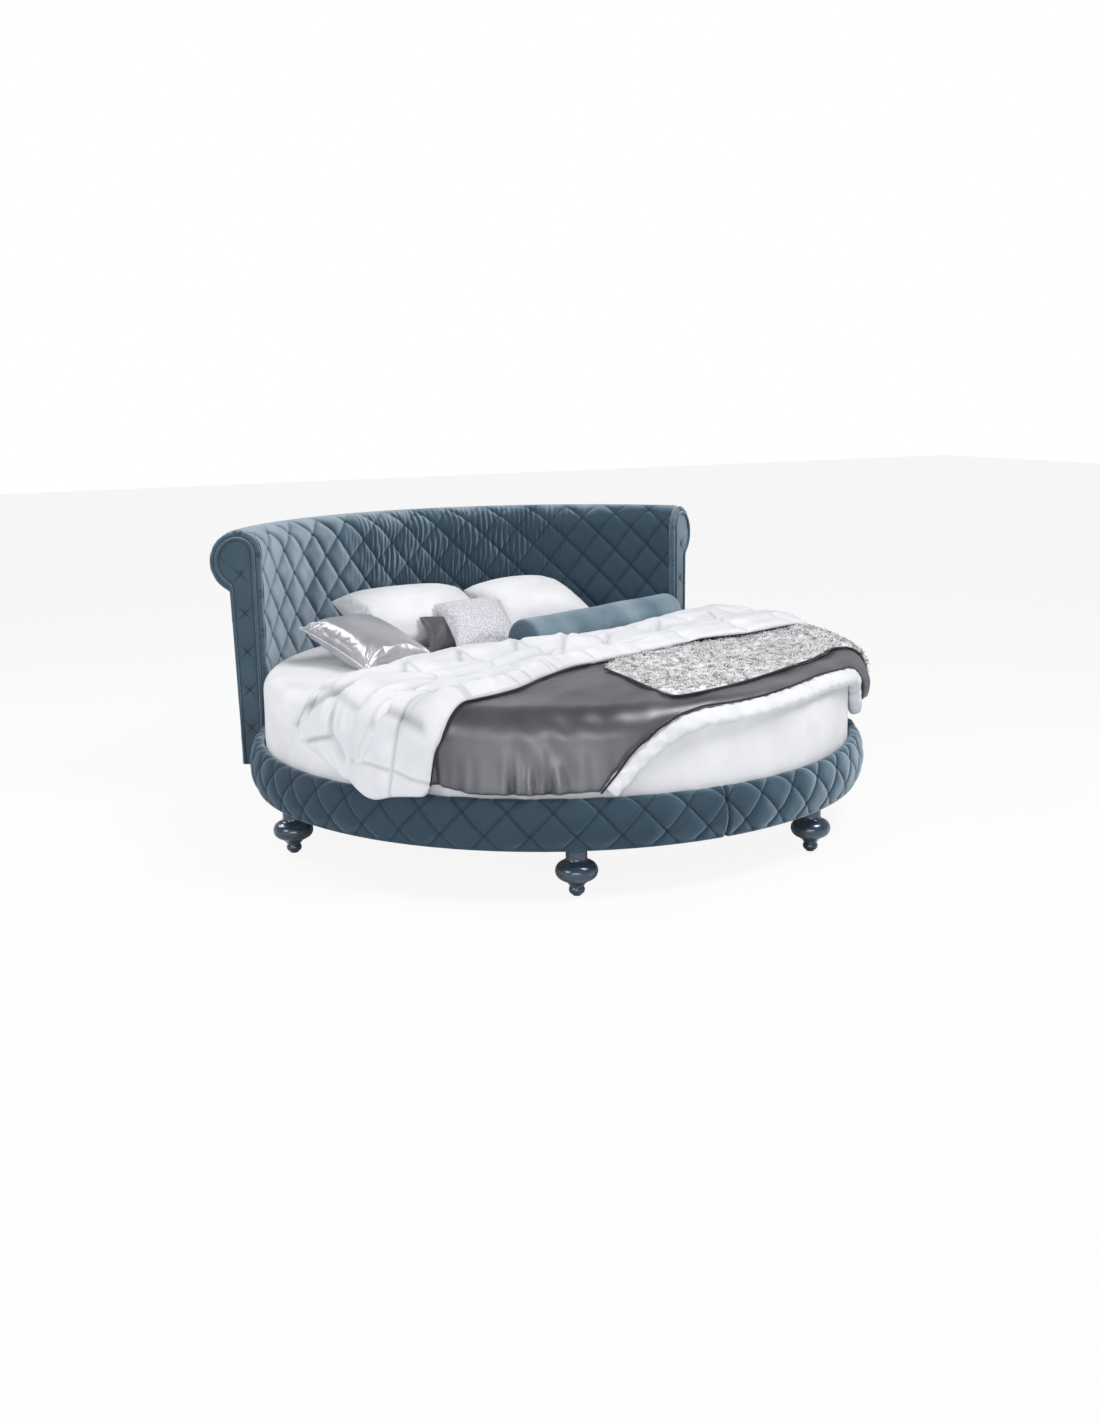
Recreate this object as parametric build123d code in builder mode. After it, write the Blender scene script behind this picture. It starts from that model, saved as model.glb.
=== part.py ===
from build123d import *
from math import acos, asin, atan2, cos, degrees, hypot, radians, sin, sqrt
import os

os.makedirs("parts", exist_ok=True)

# A round upholstered bed, in millimetres. Z = 0 is the floor, the ring's centre is X = Y = 0,
# and the foot of the bed points to -Y. Angles run from the foot towards +X.

# Assembly gaps shared by the whole bed
fit_gap = 0.3
soft_gap = 0.4
running_gap = 0.08
overrun = 5.0

# The fitted mattress sets the width of the bed
sheet_radius = 1100.0

# Ring: two bent rails under a quilted pad, open to the headboard at the back
mattress_play = 7.7
rail_thickness = 22.0
ring_wide_reach = 35.3
ring_wide_height = 243.0
ring_bottom_reach = 11.3
ring_crown_inset = 7.7
ring_crown_height = 330.0
ring_inner_height = 324.0
rail_bottom_height = 166.0
rail_top_height = 318.0
rail_joint_gap = 1.0
pad_lip_width = 20.0

# Bun feet
foot_circle_inset = 41.7
foot_front_angle = 25.6
foot_side_angle = 88.0
foot_back_angle = 150.0
foot_height = 161.0
foot_belly_radius = 69.5
foot_belly_height = 84.0
foot_collar_radius = 35.0
foot_flange_radius = 41.0
foot_flange_thickness = 9.0
foot_neck_radius = 23.0
foot_neck_height = 29.0
foot_tip_radius = 16.0
foot_tip_belly_radius = 26.0
foot_shoulder_radius = 50.0
foot_shoulder_height = 112.0
foot_cove_height = 130.0
foot_skirt_radius = 50.0
foot_skirt_height = 54.0
glide_radius = 14.0
glide_thickness = 3.0
foot_bolt_radius = 4.0
foot_bolt_bottom = 118.0
foot_bolt_top = 206.0
foot_block_depth = 60.0
foot_block_width = 124.0
foot_block_height = 63.0

# Ledge, spine and slats that carry the mattress
ledge_width = 26.0
ledge_depth = 33.0
slat_base_height = 283.0
slat_thickness = 8.0
slat_width = 53.0
slat_pitch = 76.0
slat_count = 28
slat_centre_gap = 6.0
slat_end_gap = 1.5
spine_width = 60.0
spine_depth = 40.0
spine_wall = 3.0
bracket_thickness = 5.0
bracket_width = 84.0
bracket_reach = 70.0
joint_plate_thickness = 5.0
joint_plate_width = 190.0
joint_plate_bottom = 176.0
joint_plate_depth = 56.0
joint_bolt_pitch = 56.0
screw_radius = 3.0
screw_head_radius = 6.5
screw_head_thickness = 3.5
screw_skin = 4.0
ledge_screws_per_half = 7

# Centre leg with a levelling glide
leg_radius = 25.0
leg_wall = 3.0
leg_bottom_height = 27.0
leg_nut_depth = 18.0
leg_plate_thickness = 5.0
leg_plate_length = 96.0
stem_radius = 6.0
stem_top_height = 80.0
level_disc_radius = 24.0
level_disc_thickness = 8.0

# Headboard: an arc that wraps the back of the ring and rolls over outwards at the top
head_half_angle = 55.6
head_bottom_height = 155.0
head_bottom_depth = 120.0
head_back_lean = 16.0
lip_centre_height = 986.0
lip_radius = 90.0
scroll_centre_depth = 82.0
scroll_centre_height = 952.0
scroll_radius = 125.0
head_pad_thickness = 15.0
head_panel_thickness = 9.0
head_back_cover_thickness = 6.0
head_base_thickness = 18.0
head_rail_thickness = 40.0
head_rail_bottom = 206.0
head_rail_depth = 70.0
rib_thickness = 18.0
rib_count = 7
end_panel_thickness = 18.0
end_panel_inset = 1.5
piping_radius = 6.5
end_piping_inset = 30.0
end_piping_back_inset = 14.0
head_bolt_radius = 4.0
head_bolt_head_radius = 8.0
head_bolt_head_thickness = 6.0
head_bolt_length = 72.0
head_bolt_height = 238.0
head_bolt_count = 6

# Mattress and fitted sheet
sheet_thickness = 1.6
mattress_top_height = 575.0
mattress_edge_radius = 60.0
mattress_foot_radius = 40.0
sheet_hem_height = 300.0

# Duvet, folded back at its head edge, and the fur throw on it
duvet_thickness = 38.0
duvet_fold_thickness = 34.0
duvet_fold_bite = 4.0
duvet_band_height = 46.0
duvet_band_crown = 28.0
duvet_band_shoulder = 55.0
duvet_head_slope_share = 0.235
duvet_head_offset = 40.0
duvet_ridge_slope_share = 0.31
duvet_ridge_offset = -190.0
duvet_left_angle = -79.0
duvet_right_angle = 105.0
duvet_fold_left_end_angle = -51.0
duvet_fold_right_start_angle = 93.0
duvet_section_step = 4.6
duvet_hem_land = 6.0
duvet_fold_wave = 9.0
# Angle, then how far the hem hangs as a share of the way down to the ring's crown
duvet_hem_shares = [(-79.0, 0.34), (-71.0, 0.80), (-66.0, 0.985), (-21.0, 0.985), (-17.5, 0.66),
                    (-14.0, 0.44), (-8.0, 0.22), (-3.0, 0.13), (50.0, 0.12), (60.0, 0.30),
                    (68.0, 0.39), (100.0, 0.39), (105.0, 0.34)]
throw_thickness = 15.0
throw_left_angle = -7.5
throw_right_angle = 79.0
throw_tip_x_share = -0.04
throw_tip_y_share = -0.387
throw_far_x_share = 0.15
throw_far_y_share = -0.305
throw_hem_shares = [(-7.5, 0.045), (48.0, 0.045), (58.0, 0.16), (79.0, 0.20)]
throw_hem_land = 3.0
cover_slack = 1.5

# Pillows: width, height, thickness, yaw and lean, with the middle's place from the ring's centre
pillow_pinch_share = 0.045
white_left_size = (600.0, 430.0, 180.0)
white_left_place = (-255.0, 735.0, 105.0)
white_right_size = (460.0, 430.0, 180.0)
white_right_place = (279.0, 740.0, 105.0)
white_yaw = 2.0
white_lean = 16.0
silver_size = (330.0, 430.0, 120.0)
silver_place = (-641.0, 310.0, 84.0)
silver_yaw = 15.0
silver_lean = 15.0
grey_size = (320.0, 180.0, 80.0)
grey_place = (-175.0, 485.0, 61.0)
grey_yaw = -4.0
grey_lean = 50.0
cushion_size = (300.0, 340.0, 100.0)
cushion_place = (-124.0, 416.0, 96.0)
cushion_yaw = -7.0
cushion_lean = 25.0
bolster_radius = 80.0
bolster_length = 960.0
bolster_round = 26.0
bolster_place = (348.0, 279.0)
bolster_yaw = 21.2
bolster_flat = 6.0

# What follows from the sizes above
rail_inner_radius = sheet_radius + mattress_play
rail_outer_radius = rail_inner_radius + rail_thickness
ring_wide_radius = rail_outer_radius + ring_wide_reach
ring_bottom_radius = rail_outer_radius + ring_bottom_reach
ring_crown_radius = rail_outer_radius - ring_crown_inset
foot_circle_radius = rail_outer_radius - foot_circle_inset
foot_block_top = foot_height + foot_block_height
head_inner_radius = rail_outer_radius + fit_gap
head_back_bottom_radius = head_inner_radius + head_bottom_depth
head_back_top_radius = head_back_bottom_radius + head_back_lean
scroll_centre_radius = head_inner_radius + scroll_centre_depth
slat_top_height = slat_base_height + slat_thickness
mattress_bottom_height = slat_top_height + fit_gap
lip_centre_radius = head_inner_radius + lip_radius
head_start_angle = 180 - head_half_angle
end_panel_angle = degrees(asin((end_panel_thickness + fit_gap) / head_inner_radius))
head_sector_angle = head_start_angle + end_panel_angle
head_sector_sweep = 2 * (head_half_angle - end_panel_angle)
pad_end_angle = head_start_angle - degrees(asin((2 * piping_radius + fit_gap) / head_inner_radius))


def radial_plane(angle):
    """The upright plane through the ring's axis: x outwards at that angle, y up."""
    a = radians(angle)
    return Plane(origin=(0, 0, 0), x_dir=(sin(a), -cos(a), 0), z_dir=(-cos(a), -sin(a), 0))


def outward_plane(angle, radius, height):
    """A plane that touches the cylinder of that radius and faces outwards."""
    a = radians(angle)
    origin = (radius * sin(a), -radius * cos(a), height)
    return Plane(origin=origin, x_dir=(cos(a), sin(a), 0), z_dir=(sin(a), -cos(a), 0))


def finish(builder, name):
    """Label a finished sub-part and write it."""
    builder.part.label = name
    export_step(builder.part, "parts/" + name + ".step")


def revolved_block(start, sweep, inner, outer, bottom, top, mode=Mode.ADD):
    """A curved block of rectangular section, added to the part being built or cut from it."""
    with BuildSketch(radial_plane(start)) as profile:
        with Locations(((inner + outer) / 2, (bottom + top) / 2)):
            Rectangle(outer - inner, top - bottom)
    revolve(profile.sketch, axis=Axis.Z, revolution_arc=sweep, mode=mode)


def radial_hole(angle, start, depth, height, radius):
    """A hole drilled outwards from a start radius."""
    with BuildSketch(outward_plane(angle, start, height)) as mouth:
        Circle(radius)
    extrude(mouth.sketch, amount=depth, mode=Mode.SUBTRACT)


def radial_screw(angle, seat, height, head_radius, head_thickness, shank_radius, length):
    """A screw whose head sits inside the seat radius and whose shank runs outwards."""
    with BuildSketch(outward_plane(angle, seat - head_thickness, height)) as head:
        Circle(head_radius)
    extrude(head.sketch, amount=head_thickness)
    with BuildSketch(outward_plane(angle, seat, height)) as shank:
        Circle(shank_radius)
    extrude(shank.sketch, amount=length)


def arc_degrees(width, radius):
    """The angle that a chord of this width takes at this radius."""
    return 2 * degrees(asin(width / 2 / radius))


def in_half(angle, start):
    """Whether an angle lies in the half ring that starts at this angle."""
    return 0 < (angle - start) % 360 < 180


# Rails: two bent plywood halves that meet at the foot and at the head
joint_bolt_angle = arc_degrees(joint_bolt_pitch, rail_inner_radius) / 2
joint_bolt_angles = [end + side * joint_bolt_angle * row
                     for end in (0, 180) for side in (-1, 1) for row in (1, 2)]
head_bolt_step = 2 * (head_half_angle - 2 * end_panel_angle) / head_bolt_count
head_bolt_angles = [180 + head_bolt_step * (k - (head_bolt_count - 1) / 2) for k in range(head_bolt_count)]
ledge_start = arc_degrees(bracket_width + 2 * overrun, rail_inner_radius) / 2
ledge_sweep = 180 - 2 * ledge_start
ledge_screw_step = ledge_sweep / ledge_screws_per_half
ledge_screw_angles = [start + ledge_start + ledge_screw_step * (k + 1 / 2)
                      for start in (0, 180) for k in range(ledge_screws_per_half)]
joint_bolt_height = joint_plate_bottom + joint_plate_depth / 2
ledge_bottom = slat_base_height - ledge_depth
ledge_screw_height = slat_base_height - ledge_depth / 2
ledge_outer = rail_inner_radius
ledge_inner = ledge_outer - ledge_width
rail_gap_angle = arc_degrees(rail_joint_gap, rail_inner_radius) / 2
screw_grip = rail_thickness - screw_skin

for name, start in (("rail_right", 0), ("rail_left", 180)):
    with BuildPart() as rail:
        revolved_block(start + rail_gap_angle, 180 - 2 * rail_gap_angle,
                       rail_inner_radius, rail_outer_radius, rail_bottom_height, rail_top_height)
        for angle in joint_bolt_angles:
            if in_half(angle, start):
                radial_hole(angle, rail_inner_radius - overrun, overrun + screw_grip + fit_gap,
                            joint_bolt_height, screw_radius + fit_gap)
        for angle in ledge_screw_angles:
            if in_half(angle, start):
                radial_hole(angle, rail_inner_radius - overrun, overrun + screw_grip + fit_gap,
                            ledge_screw_height, screw_radius + fit_gap)
        for angle in head_bolt_angles:
            if in_half(angle, start):
                radial_hole(angle, rail_inner_radius - overrun, rail_thickness + 2 * overrun,
                            head_bolt_height, head_bolt_radius + fit_gap)
    finish(rail, name)

# Quilted pads: foam and velvet wrapped over the outside, the top and the bottom edge of each rail
for name, start in (("ring_pad_right", rail_gap_angle), ("ring_pad_left", -pad_end_angle)):
    with BuildPart() as pad:
        with BuildSketch(radial_plane(start)):
            inner = rail_outer_radius + fit_gap
            crown_end = inner + (ring_wide_radius - inner) / 3
            with BuildLine():
                start_line = Line((rail_inner_radius, rail_top_height + fit_gap),
                                  (rail_inner_radius, ring_inner_height))
                crown = ThreePointArc(start_line @ 1, (ring_crown_radius, ring_crown_height),
                                      (crown_end, ring_inner_height))
                ThreePointArc(crown @ 1, (ring_wide_radius, ring_wide_height),
                              (ring_bottom_radius, foot_height))
                Polyline((ring_bottom_radius, foot_height), (rail_outer_radius - pad_lip_width, foot_height),
                         (rail_outer_radius - pad_lip_width, rail_bottom_height - fit_gap),
                         (inner, rail_bottom_height - fit_gap), (inner, rail_top_height + fit_gap),
                         (rail_inner_radius, rail_top_height + fit_gap))
            make_face()
        revolve(axis=Axis.Z, revolution_arc=pad_end_angle - rail_gap_angle)
    finish(pad, name)

# Steel joint plates inside the ring at the foot and the head, and their screws
plate_outer = rail_inner_radius
plate_inner = plate_outer - joint_plate_thickness
plate_sweep = arc_degrees(joint_plate_width, rail_inner_radius)
with BuildPart() as joint_plates:
    for end in (0, 180):
        revolved_block(end - plate_sweep / 2, plate_sweep, plate_inner, plate_outer,
                       joint_plate_bottom, joint_plate_bottom + joint_plate_depth)
    for angle in joint_bolt_angles:
        radial_hole(angle, plate_inner - overrun, joint_plate_thickness + 2 * overrun,
                    joint_bolt_height, screw_radius + fit_gap)
finish(joint_plates, "joint_plates")

with BuildPart() as joint_screws:
    for angle in joint_bolt_angles:
        radial_screw(angle, plate_inner - running_gap, joint_bolt_height, screw_head_radius,
                     screw_head_thickness, screw_radius, joint_plate_thickness + running_gap + screw_grip)
finish(joint_screws, "joint_screws")

# Ledge: beech strips screwed round the inside of the rails
for name, start in (("ledge_right", 0), ("ledge_left", 180)):
    with BuildPart() as ledge:
        revolved_block(start + ledge_start, ledge_sweep, ledge_inner, ledge_outer,
                       ledge_bottom, slat_base_height)
        for angle in ledge_screw_angles:
            if in_half(angle, start):
                radial_hole(angle, ledge_inner - overrun, ledge_width + 2 * overrun,
                            ledge_screw_height, screw_radius + fit_gap)
    finish(ledge, name)

with BuildPart() as ledge_screws:
    for angle in ledge_screw_angles:
        radial_screw(angle, ledge_inner - running_gap, ledge_screw_height, screw_head_radius,
                     screw_head_thickness, screw_radius, ledge_width + running_gap + screw_grip)
finish(ledge_screws, "ledge_screws")

# Spine: a steel box tube along the bed, hung in a bracket at each end
spine_bottom = slat_base_height - spine_depth
bracket_outer = rail_inner_radius
bracket_inner = bracket_outer - bracket_thickness
spine_half_length = sqrt((bracket_inner - fit_gap) ** 2 - (spine_width / 2) ** 2)
with BuildPart() as spine:
    with BuildSketch(Plane.XZ.offset(-spine_half_length)):
        with Locations((0, spine_bottom + spine_depth / 2)):
            Rectangle(spine_width, spine_depth)
            Rectangle(spine_width - 2 * spine_wall, spine_depth - 2 * spine_wall, mode=Mode.SUBTRACT)
    extrude(amount=2 * spine_half_length)
finish(spine, "spine_tube")

bracket_sweep = arc_degrees(bracket_width, rail_inner_radius)
shelf_bottom = spine_bottom - bracket_thickness
with BuildPart() as brackets:
    for end in (0, 180):
        revolved_block(end - bracket_sweep / 2, bracket_sweep, bracket_inner, bracket_outer,
                       shelf_bottom, slat_base_height)
        side = -1 if end == 0 else 1
        with Locations((0, side * (bracket_inner - bracket_reach / 2), spine_bottom - bracket_thickness / 2)):
            Box(bracket_width, bracket_reach + bracket_thickness / 2, bracket_thickness)
finish(brackets, "spine_brackets")

# Slats: bent beech strips from the spine out to the ledge, in two rows
slat_reach = rail_inner_radius - slat_end_gap
for name, side in (("slats_right", 1), ("slats_left", -1)):
    with BuildPart() as slats:
        for k in range(slat_count):
            y = (k - (slat_count - 1) / 2) * slat_pitch
            outer_end = sqrt(slat_reach ** 2 - (abs(y) + slat_width / 2) ** 2)
            inner_end = slat_centre_gap / 2
            with Locations((side * (outer_end + inner_end) / 2, y, slat_base_height + slat_thickness / 2)):
                Box(outer_end - inner_end, slat_width, slat_thickness)
    finish(slats, name)

# Centre leg: a round tube welded to a plate under the spine, with a nut for the levelling glide
with BuildPart() as leg:
    with Locations((0, 0, spine_bottom - leg_plate_thickness / 2)):
        Box(spine_width, leg_plate_length, leg_plate_thickness)
    leg_top = spine_bottom - leg_plate_thickness
    with BuildSketch(Plane.XY.offset(leg_bottom_height)):
        Circle(leg_radius)
    extrude(amount=leg_top - leg_bottom_height)
    with BuildSketch(Plane.XY.offset(leg_bottom_height + leg_nut_depth)):
        Circle(leg_radius - leg_wall)
    extrude(amount=leg_top - leg_bottom_height - leg_nut_depth, mode=Mode.SUBTRACT)
    with BuildSketch(Plane.XY.offset(leg_bottom_height - overrun)):
        Circle(stem_radius + running_gap)
    extrude(amount=leg_nut_depth + 2 * overrun, mode=Mode.SUBTRACT)
finish(leg, "centre_leg")

with BuildPart() as level_glide:
    with BuildSketch():
        Circle(level_disc_radius)
    extrude(amount=level_disc_thickness)
    with BuildSketch(Plane.XY.offset(level_disc_thickness)):
        Circle(stem_radius)
    extrude(amount=stem_top_height - level_disc_thickness)
finish(level_glide, "levelling_glide")

# Feet: six turned and lacquered buns, each held by a hanger bolt in a block inside the rail
foot_angles = {"foot_front_right": foot_front_angle, "foot_side_right": foot_side_angle,
               "foot_back_right": foot_back_angle, "foot_back_left": -foot_back_angle,
               "foot_side_left": -foot_side_angle, "foot_front_left": -foot_front_angle}
foot_places = {}
for name, angle in foot_angles.items():
    foot_places[name] = (foot_circle_radius * sin(radians(angle)), -foot_circle_radius * cos(radians(angle)))

for name, (x, y) in foot_places.items():
    with BuildPart() as foot:
        with BuildSketch(Plane(origin=(x, y, 0), x_dir=(1, 0, 0), z_dir=(0, -1, 0))):
            with BuildLine():
                base = Line((0, glide_thickness), (foot_tip_radius, glide_thickness))
                tip_middle = (glide_thickness + foot_neck_height) / 2
                tip = ThreePointArc(base @ 1, (foot_tip_belly_radius, tip_middle),
                                    (foot_neck_radius, foot_neck_height))
                flare_radius = (foot_neck_radius + foot_skirt_radius) / 2 - foot_tip_radius / 4
                flare_height = (foot_neck_height + foot_skirt_height) / 2
                flare = ThreePointArc(tip @ 1, (flare_radius, flare_height),
                                      (foot_skirt_radius, foot_skirt_height))
                belly = ThreePointArc(flare @ 1, (foot_belly_radius, foot_belly_height),
                                      (foot_shoulder_radius, foot_shoulder_height))
                cove_radius = foot_collar_radius + foot_tip_radius / 6
                cove_height = foot_shoulder_height + (foot_cove_height - foot_shoulder_height) * 2 / 5
                cove = ThreePointArc(belly @ 1, (cove_radius, cove_height),
                                     (foot_collar_radius, foot_cove_height))
                Polyline(cove @ 1, (foot_collar_radius, foot_height - foot_flange_thickness),
                         (foot_flange_radius, foot_height - foot_flange_thickness / 2),
                         (foot_flange_radius, foot_height), (0, foot_height), (0, glide_thickness))
            make_face()
        revolve(axis=Axis((x, y, 0), (0, 0, 1)))
        with BuildSketch(Plane.XY.offset(foot_bolt_bottom - fit_gap)):
            with Locations((x, y)):
                Circle(foot_bolt_radius + fit_gap)
        extrude(amount=foot_height, mode=Mode.SUBTRACT)
    finish(foot, name)

with BuildPart() as glides:
    with BuildSketch():
        with Locations(*foot_places.values()):
            Circle(glide_radius)
    extrude(amount=glide_thickness)
finish(glides, "foot_glides")

block_sweep = arc_degrees(foot_block_width, foot_circle_radius)
with BuildPart() as blocks:
    for angle in foot_angles.values():
        revolved_block(angle - block_sweep / 2, block_sweep, rail_inner_radius - foot_block_depth,
                       rail_inner_radius, foot_height, foot_block_top)
    with BuildSketch(Plane.XY.offset(foot_height - overrun)):
        with Locations(*foot_places.values()):
            Circle(foot_bolt_radius + fit_gap)
    extrude(amount=foot_bolt_top + fit_gap - foot_height + overrun, mode=Mode.SUBTRACT)
finish(blocks, "foot_blocks")

with BuildPart() as hanger_bolts:
    with BuildSketch(Plane.XY.offset(foot_bolt_bottom)):
        with Locations(*foot_places.values()):
            Circle(foot_bolt_radius)
    extrude(amount=foot_bolt_top - foot_bolt_bottom)
finish(hanger_bolts, "foot_hanger_bolts")

# Headboard profile: straight inner face, front lip, scroll and a back that leans out slightly
junction_length = hypot(lip_centre_radius - scroll_centre_radius, lip_centre_height - scroll_centre_height)
junction_direction = ((lip_centre_radius - scroll_centre_radius) / junction_length,
                      (lip_centre_height - scroll_centre_height) / junction_length)
junction_angle = degrees(atan2(junction_direction[1], junction_direction[0]))


def on_circle(centre, radius, angle):
    """A point of the headboard profile on a circle, at an angle from outwards."""
    return (centre[0] + radius * cos(radians(angle)), centre[1] + radius * sin(radians(angle)))


def head_points(inset, back_inset):
    """The points that the headboard's outline passes, moved inwards by an inset."""
    lip = (lip_centre_radius, lip_centre_height)
    scroll = (scroll_centre_radius, scroll_centre_height)
    under_radius = head_back_top_radius - back_inset
    under_angle = -degrees(acos((under_radius - scroll_centre_radius) / (scroll_radius - inset)))
    return {"front": (head_inner_radius + inset, lip_centre_height),
            "lip_middle": on_circle(lip, lip_radius - inset, (180 + junction_angle) / 2),
            "junction": on_circle(scroll, scroll_radius - inset, junction_angle),
            "scroll_middle": on_circle(scroll, scroll_radius - inset, (junction_angle + under_angle) / 2),
            "under": on_circle(scroll, scroll_radius - inset, under_angle)}


def back_point(height, inset):
    """A point on the headboard's back line at a height, moved inwards by an inset."""
    rise = head_points(0, 0)["under"][1] - head_bottom_height
    lean = (head_back_top_radius - head_back_bottom_radius) / rise
    return (head_back_bottom_radius + lean * (height - head_bottom_height) - inset, height)


def head_face(angle, inset, back_inset, bottom):
    """The filled headboard outline at an angle and an inset."""
    p = head_points(inset, back_inset)
    with BuildSketch(radial_plane(angle)) as face:
        with BuildLine():
            Line((head_inner_radius + inset, bottom), p["front"])
            ThreePointArc(p["front"], p["lip_middle"], p["junction"])
            ThreePointArc(p["junction"], p["scroll_middle"], p["under"])
            Polyline(p["under"], (head_back_bottom_radius - back_inset, bottom),
                     (head_inner_radius + inset, bottom))
        make_face()
    return face.sketch


def roll_band(outer, inner, lowest):
    """The band between two insets, up the inner face from a lowest height and round the scroll."""
    a = head_points(outer, 0)
    b = head_points(inner, inner - outer)
    with BuildSketch(radial_plane(head_sector_angle)) as band:
        with BuildLine():
            Line((head_inner_radius + outer, lowest), a["front"])
            ThreePointArc(a["front"], a["lip_middle"], a["junction"])
            ThreePointArc(a["junction"], a["scroll_middle"], a["under"])
            Line(a["under"], b["under"])
            ThreePointArc(b["under"], b["scroll_middle"], b["junction"])
            ThreePointArc(b["junction"], b["lip_middle"], b["front"])
            Polyline(b["front"], (head_inner_radius + inner, lowest), (head_inner_radius + outer, lowest))
        make_face()
    return band.sketch


panel_inset = head_pad_thickness + fit_gap
rib_inset = panel_inset + head_panel_thickness + fit_gap
back_panel_inset = head_back_cover_thickness + fit_gap
rib_back_inset = head_pad_thickness + fit_gap
head_bolt_seat = rail_inner_radius - running_gap
head_under = head_points(0, 0)["under"]
head_base_top = head_bottom_height + head_base_thickness
skin_seam_height = lip_centre_height - lip_radius / 3

# Front pad: foam and quilted velvet up the inner face and round the scroll
with BuildPart() as front_pad:
    revolve(roll_band(0, head_pad_thickness, head_bottom_height), axis=Axis.Z,
            revolution_arc=head_sector_sweep)
    for angle in head_bolt_angles:
        radial_hole(angle, rail_outer_radius - overrun, head_pad_thickness + 2 * overrun,
                    head_bolt_height, head_bolt_radius + fit_gap)
finish(front_pad, "headboard_front_pad")

# Back cover: plain velvet over thin wadding, from the scroll down to the bottom edge
with BuildPart() as back_cover:
    with BuildSketch(radial_plane(head_sector_angle)):
        cover_top = head_under[1] - fit_gap
        with BuildLine():
            Polyline(back_point(cover_top, 0), back_point(head_bottom_height, 0),
                     back_point(head_bottom_height, head_back_cover_thickness),
                     back_point(cover_top, head_back_cover_thickness), close=True)
        make_face()
    revolve(axis=Axis.Z, revolution_arc=head_sector_sweep)
finish(back_cover, "headboard_back_cover")

# Bent plywood skins inside the upholstery
with BuildPart() as inner_panel:
    revolved_block(head_sector_angle, head_sector_sweep, head_inner_radius + panel_inset,
                   head_inner_radius + panel_inset + head_panel_thickness,
                   head_base_top + fit_gap, skin_seam_height - fit_gap)
    for angle in head_bolt_angles:
        radial_hole(angle, head_inner_radius, head_panel_thickness + panel_inset + overrun,
                    head_bolt_height, head_bolt_radius + fit_gap)
finish(inner_panel, "headboard_inner_panel")

with BuildPart() as scroll_skin:
    revolve(roll_band(panel_inset, panel_inset + head_panel_thickness, skin_seam_height),
            axis=Axis.Z, revolution_arc=head_sector_sweep)
finish(scroll_skin, "headboard_scroll_skin")

with BuildPart() as back_panel:
    with BuildSketch(radial_plane(head_sector_angle)):
        panel_top = head_under[1] - head_pad_thickness
        with BuildLine():
            Polyline(back_point(panel_top, back_panel_inset),
                     back_point(head_base_top + fit_gap, back_panel_inset),
                     back_point(head_base_top + fit_gap, head_pad_thickness),
                     back_point(panel_top, head_pad_thickness), close=True)
        make_face()
    revolve(axis=Axis.Z, revolution_arc=head_sector_sweep)
finish(back_panel, "headboard_back_panel")

# Base board and bolt rail that run round the headboard inside
with BuildPart() as base_board:
    revolved_block(head_sector_angle, head_sector_sweep, head_inner_radius + panel_inset,
                   head_back_bottom_radius - back_panel_inset, head_bottom_height, head_base_top)
finish(base_board, "headboard_base_board")

bolt_rail_inner = head_inner_radius + rib_inset
bolt_rail_outer = bolt_rail_inner + head_rail_thickness
bolt_rail_top = head_rail_bottom + head_rail_depth
head_bolt_reach = head_bolt_seat + head_bolt_length
with BuildPart() as bolt_rail:
    revolved_block(head_sector_angle, head_sector_sweep, bolt_rail_inner, bolt_rail_outer,
                   head_rail_bottom, bolt_rail_top)
    for angle in head_bolt_angles:
        radial_hole(angle, bolt_rail_inner - overrun, head_bolt_reach + fit_gap - bolt_rail_inner + overrun,
                    head_bolt_height, head_bolt_radius + fit_gap)
finish(bolt_rail, "headboard_bolt_rail")

# Ribs: plywood formers that carry the skins, notched round the bolt rail
rib_step = (head_sector_sweep - arc_degrees(2 * rib_thickness, head_inner_radius)) / (rib_count - 1)
with BuildPart() as ribs:
    for k in range(rib_count):
        rib_angle = 180 + rib_step * (k - (rib_count - 1) / 2)
        extrude(head_face(rib_angle, rib_inset, rib_back_inset, head_base_top + fit_gap),
                amount=rib_thickness / 2, both=True)
    revolved_block(head_sector_angle, head_sector_sweep, bolt_rail_inner - overrun, bolt_rail_outer + fit_gap,
                   head_rail_bottom - fit_gap, bolt_rail_top + fit_gap, Mode.SUBTRACT)
finish(ribs, "headboard_ribs")

# Bolts from inside the ring through the rail into the headboard's bolt rail
with BuildPart() as head_bolts:
    for angle in head_bolt_angles:
        radial_screw(angle, head_bolt_seat, head_bolt_height, head_bolt_head_radius,
                     head_bolt_head_thickness, head_bolt_radius, head_bolt_length)
finish(head_bolts, "headboard_bolts")

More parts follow.
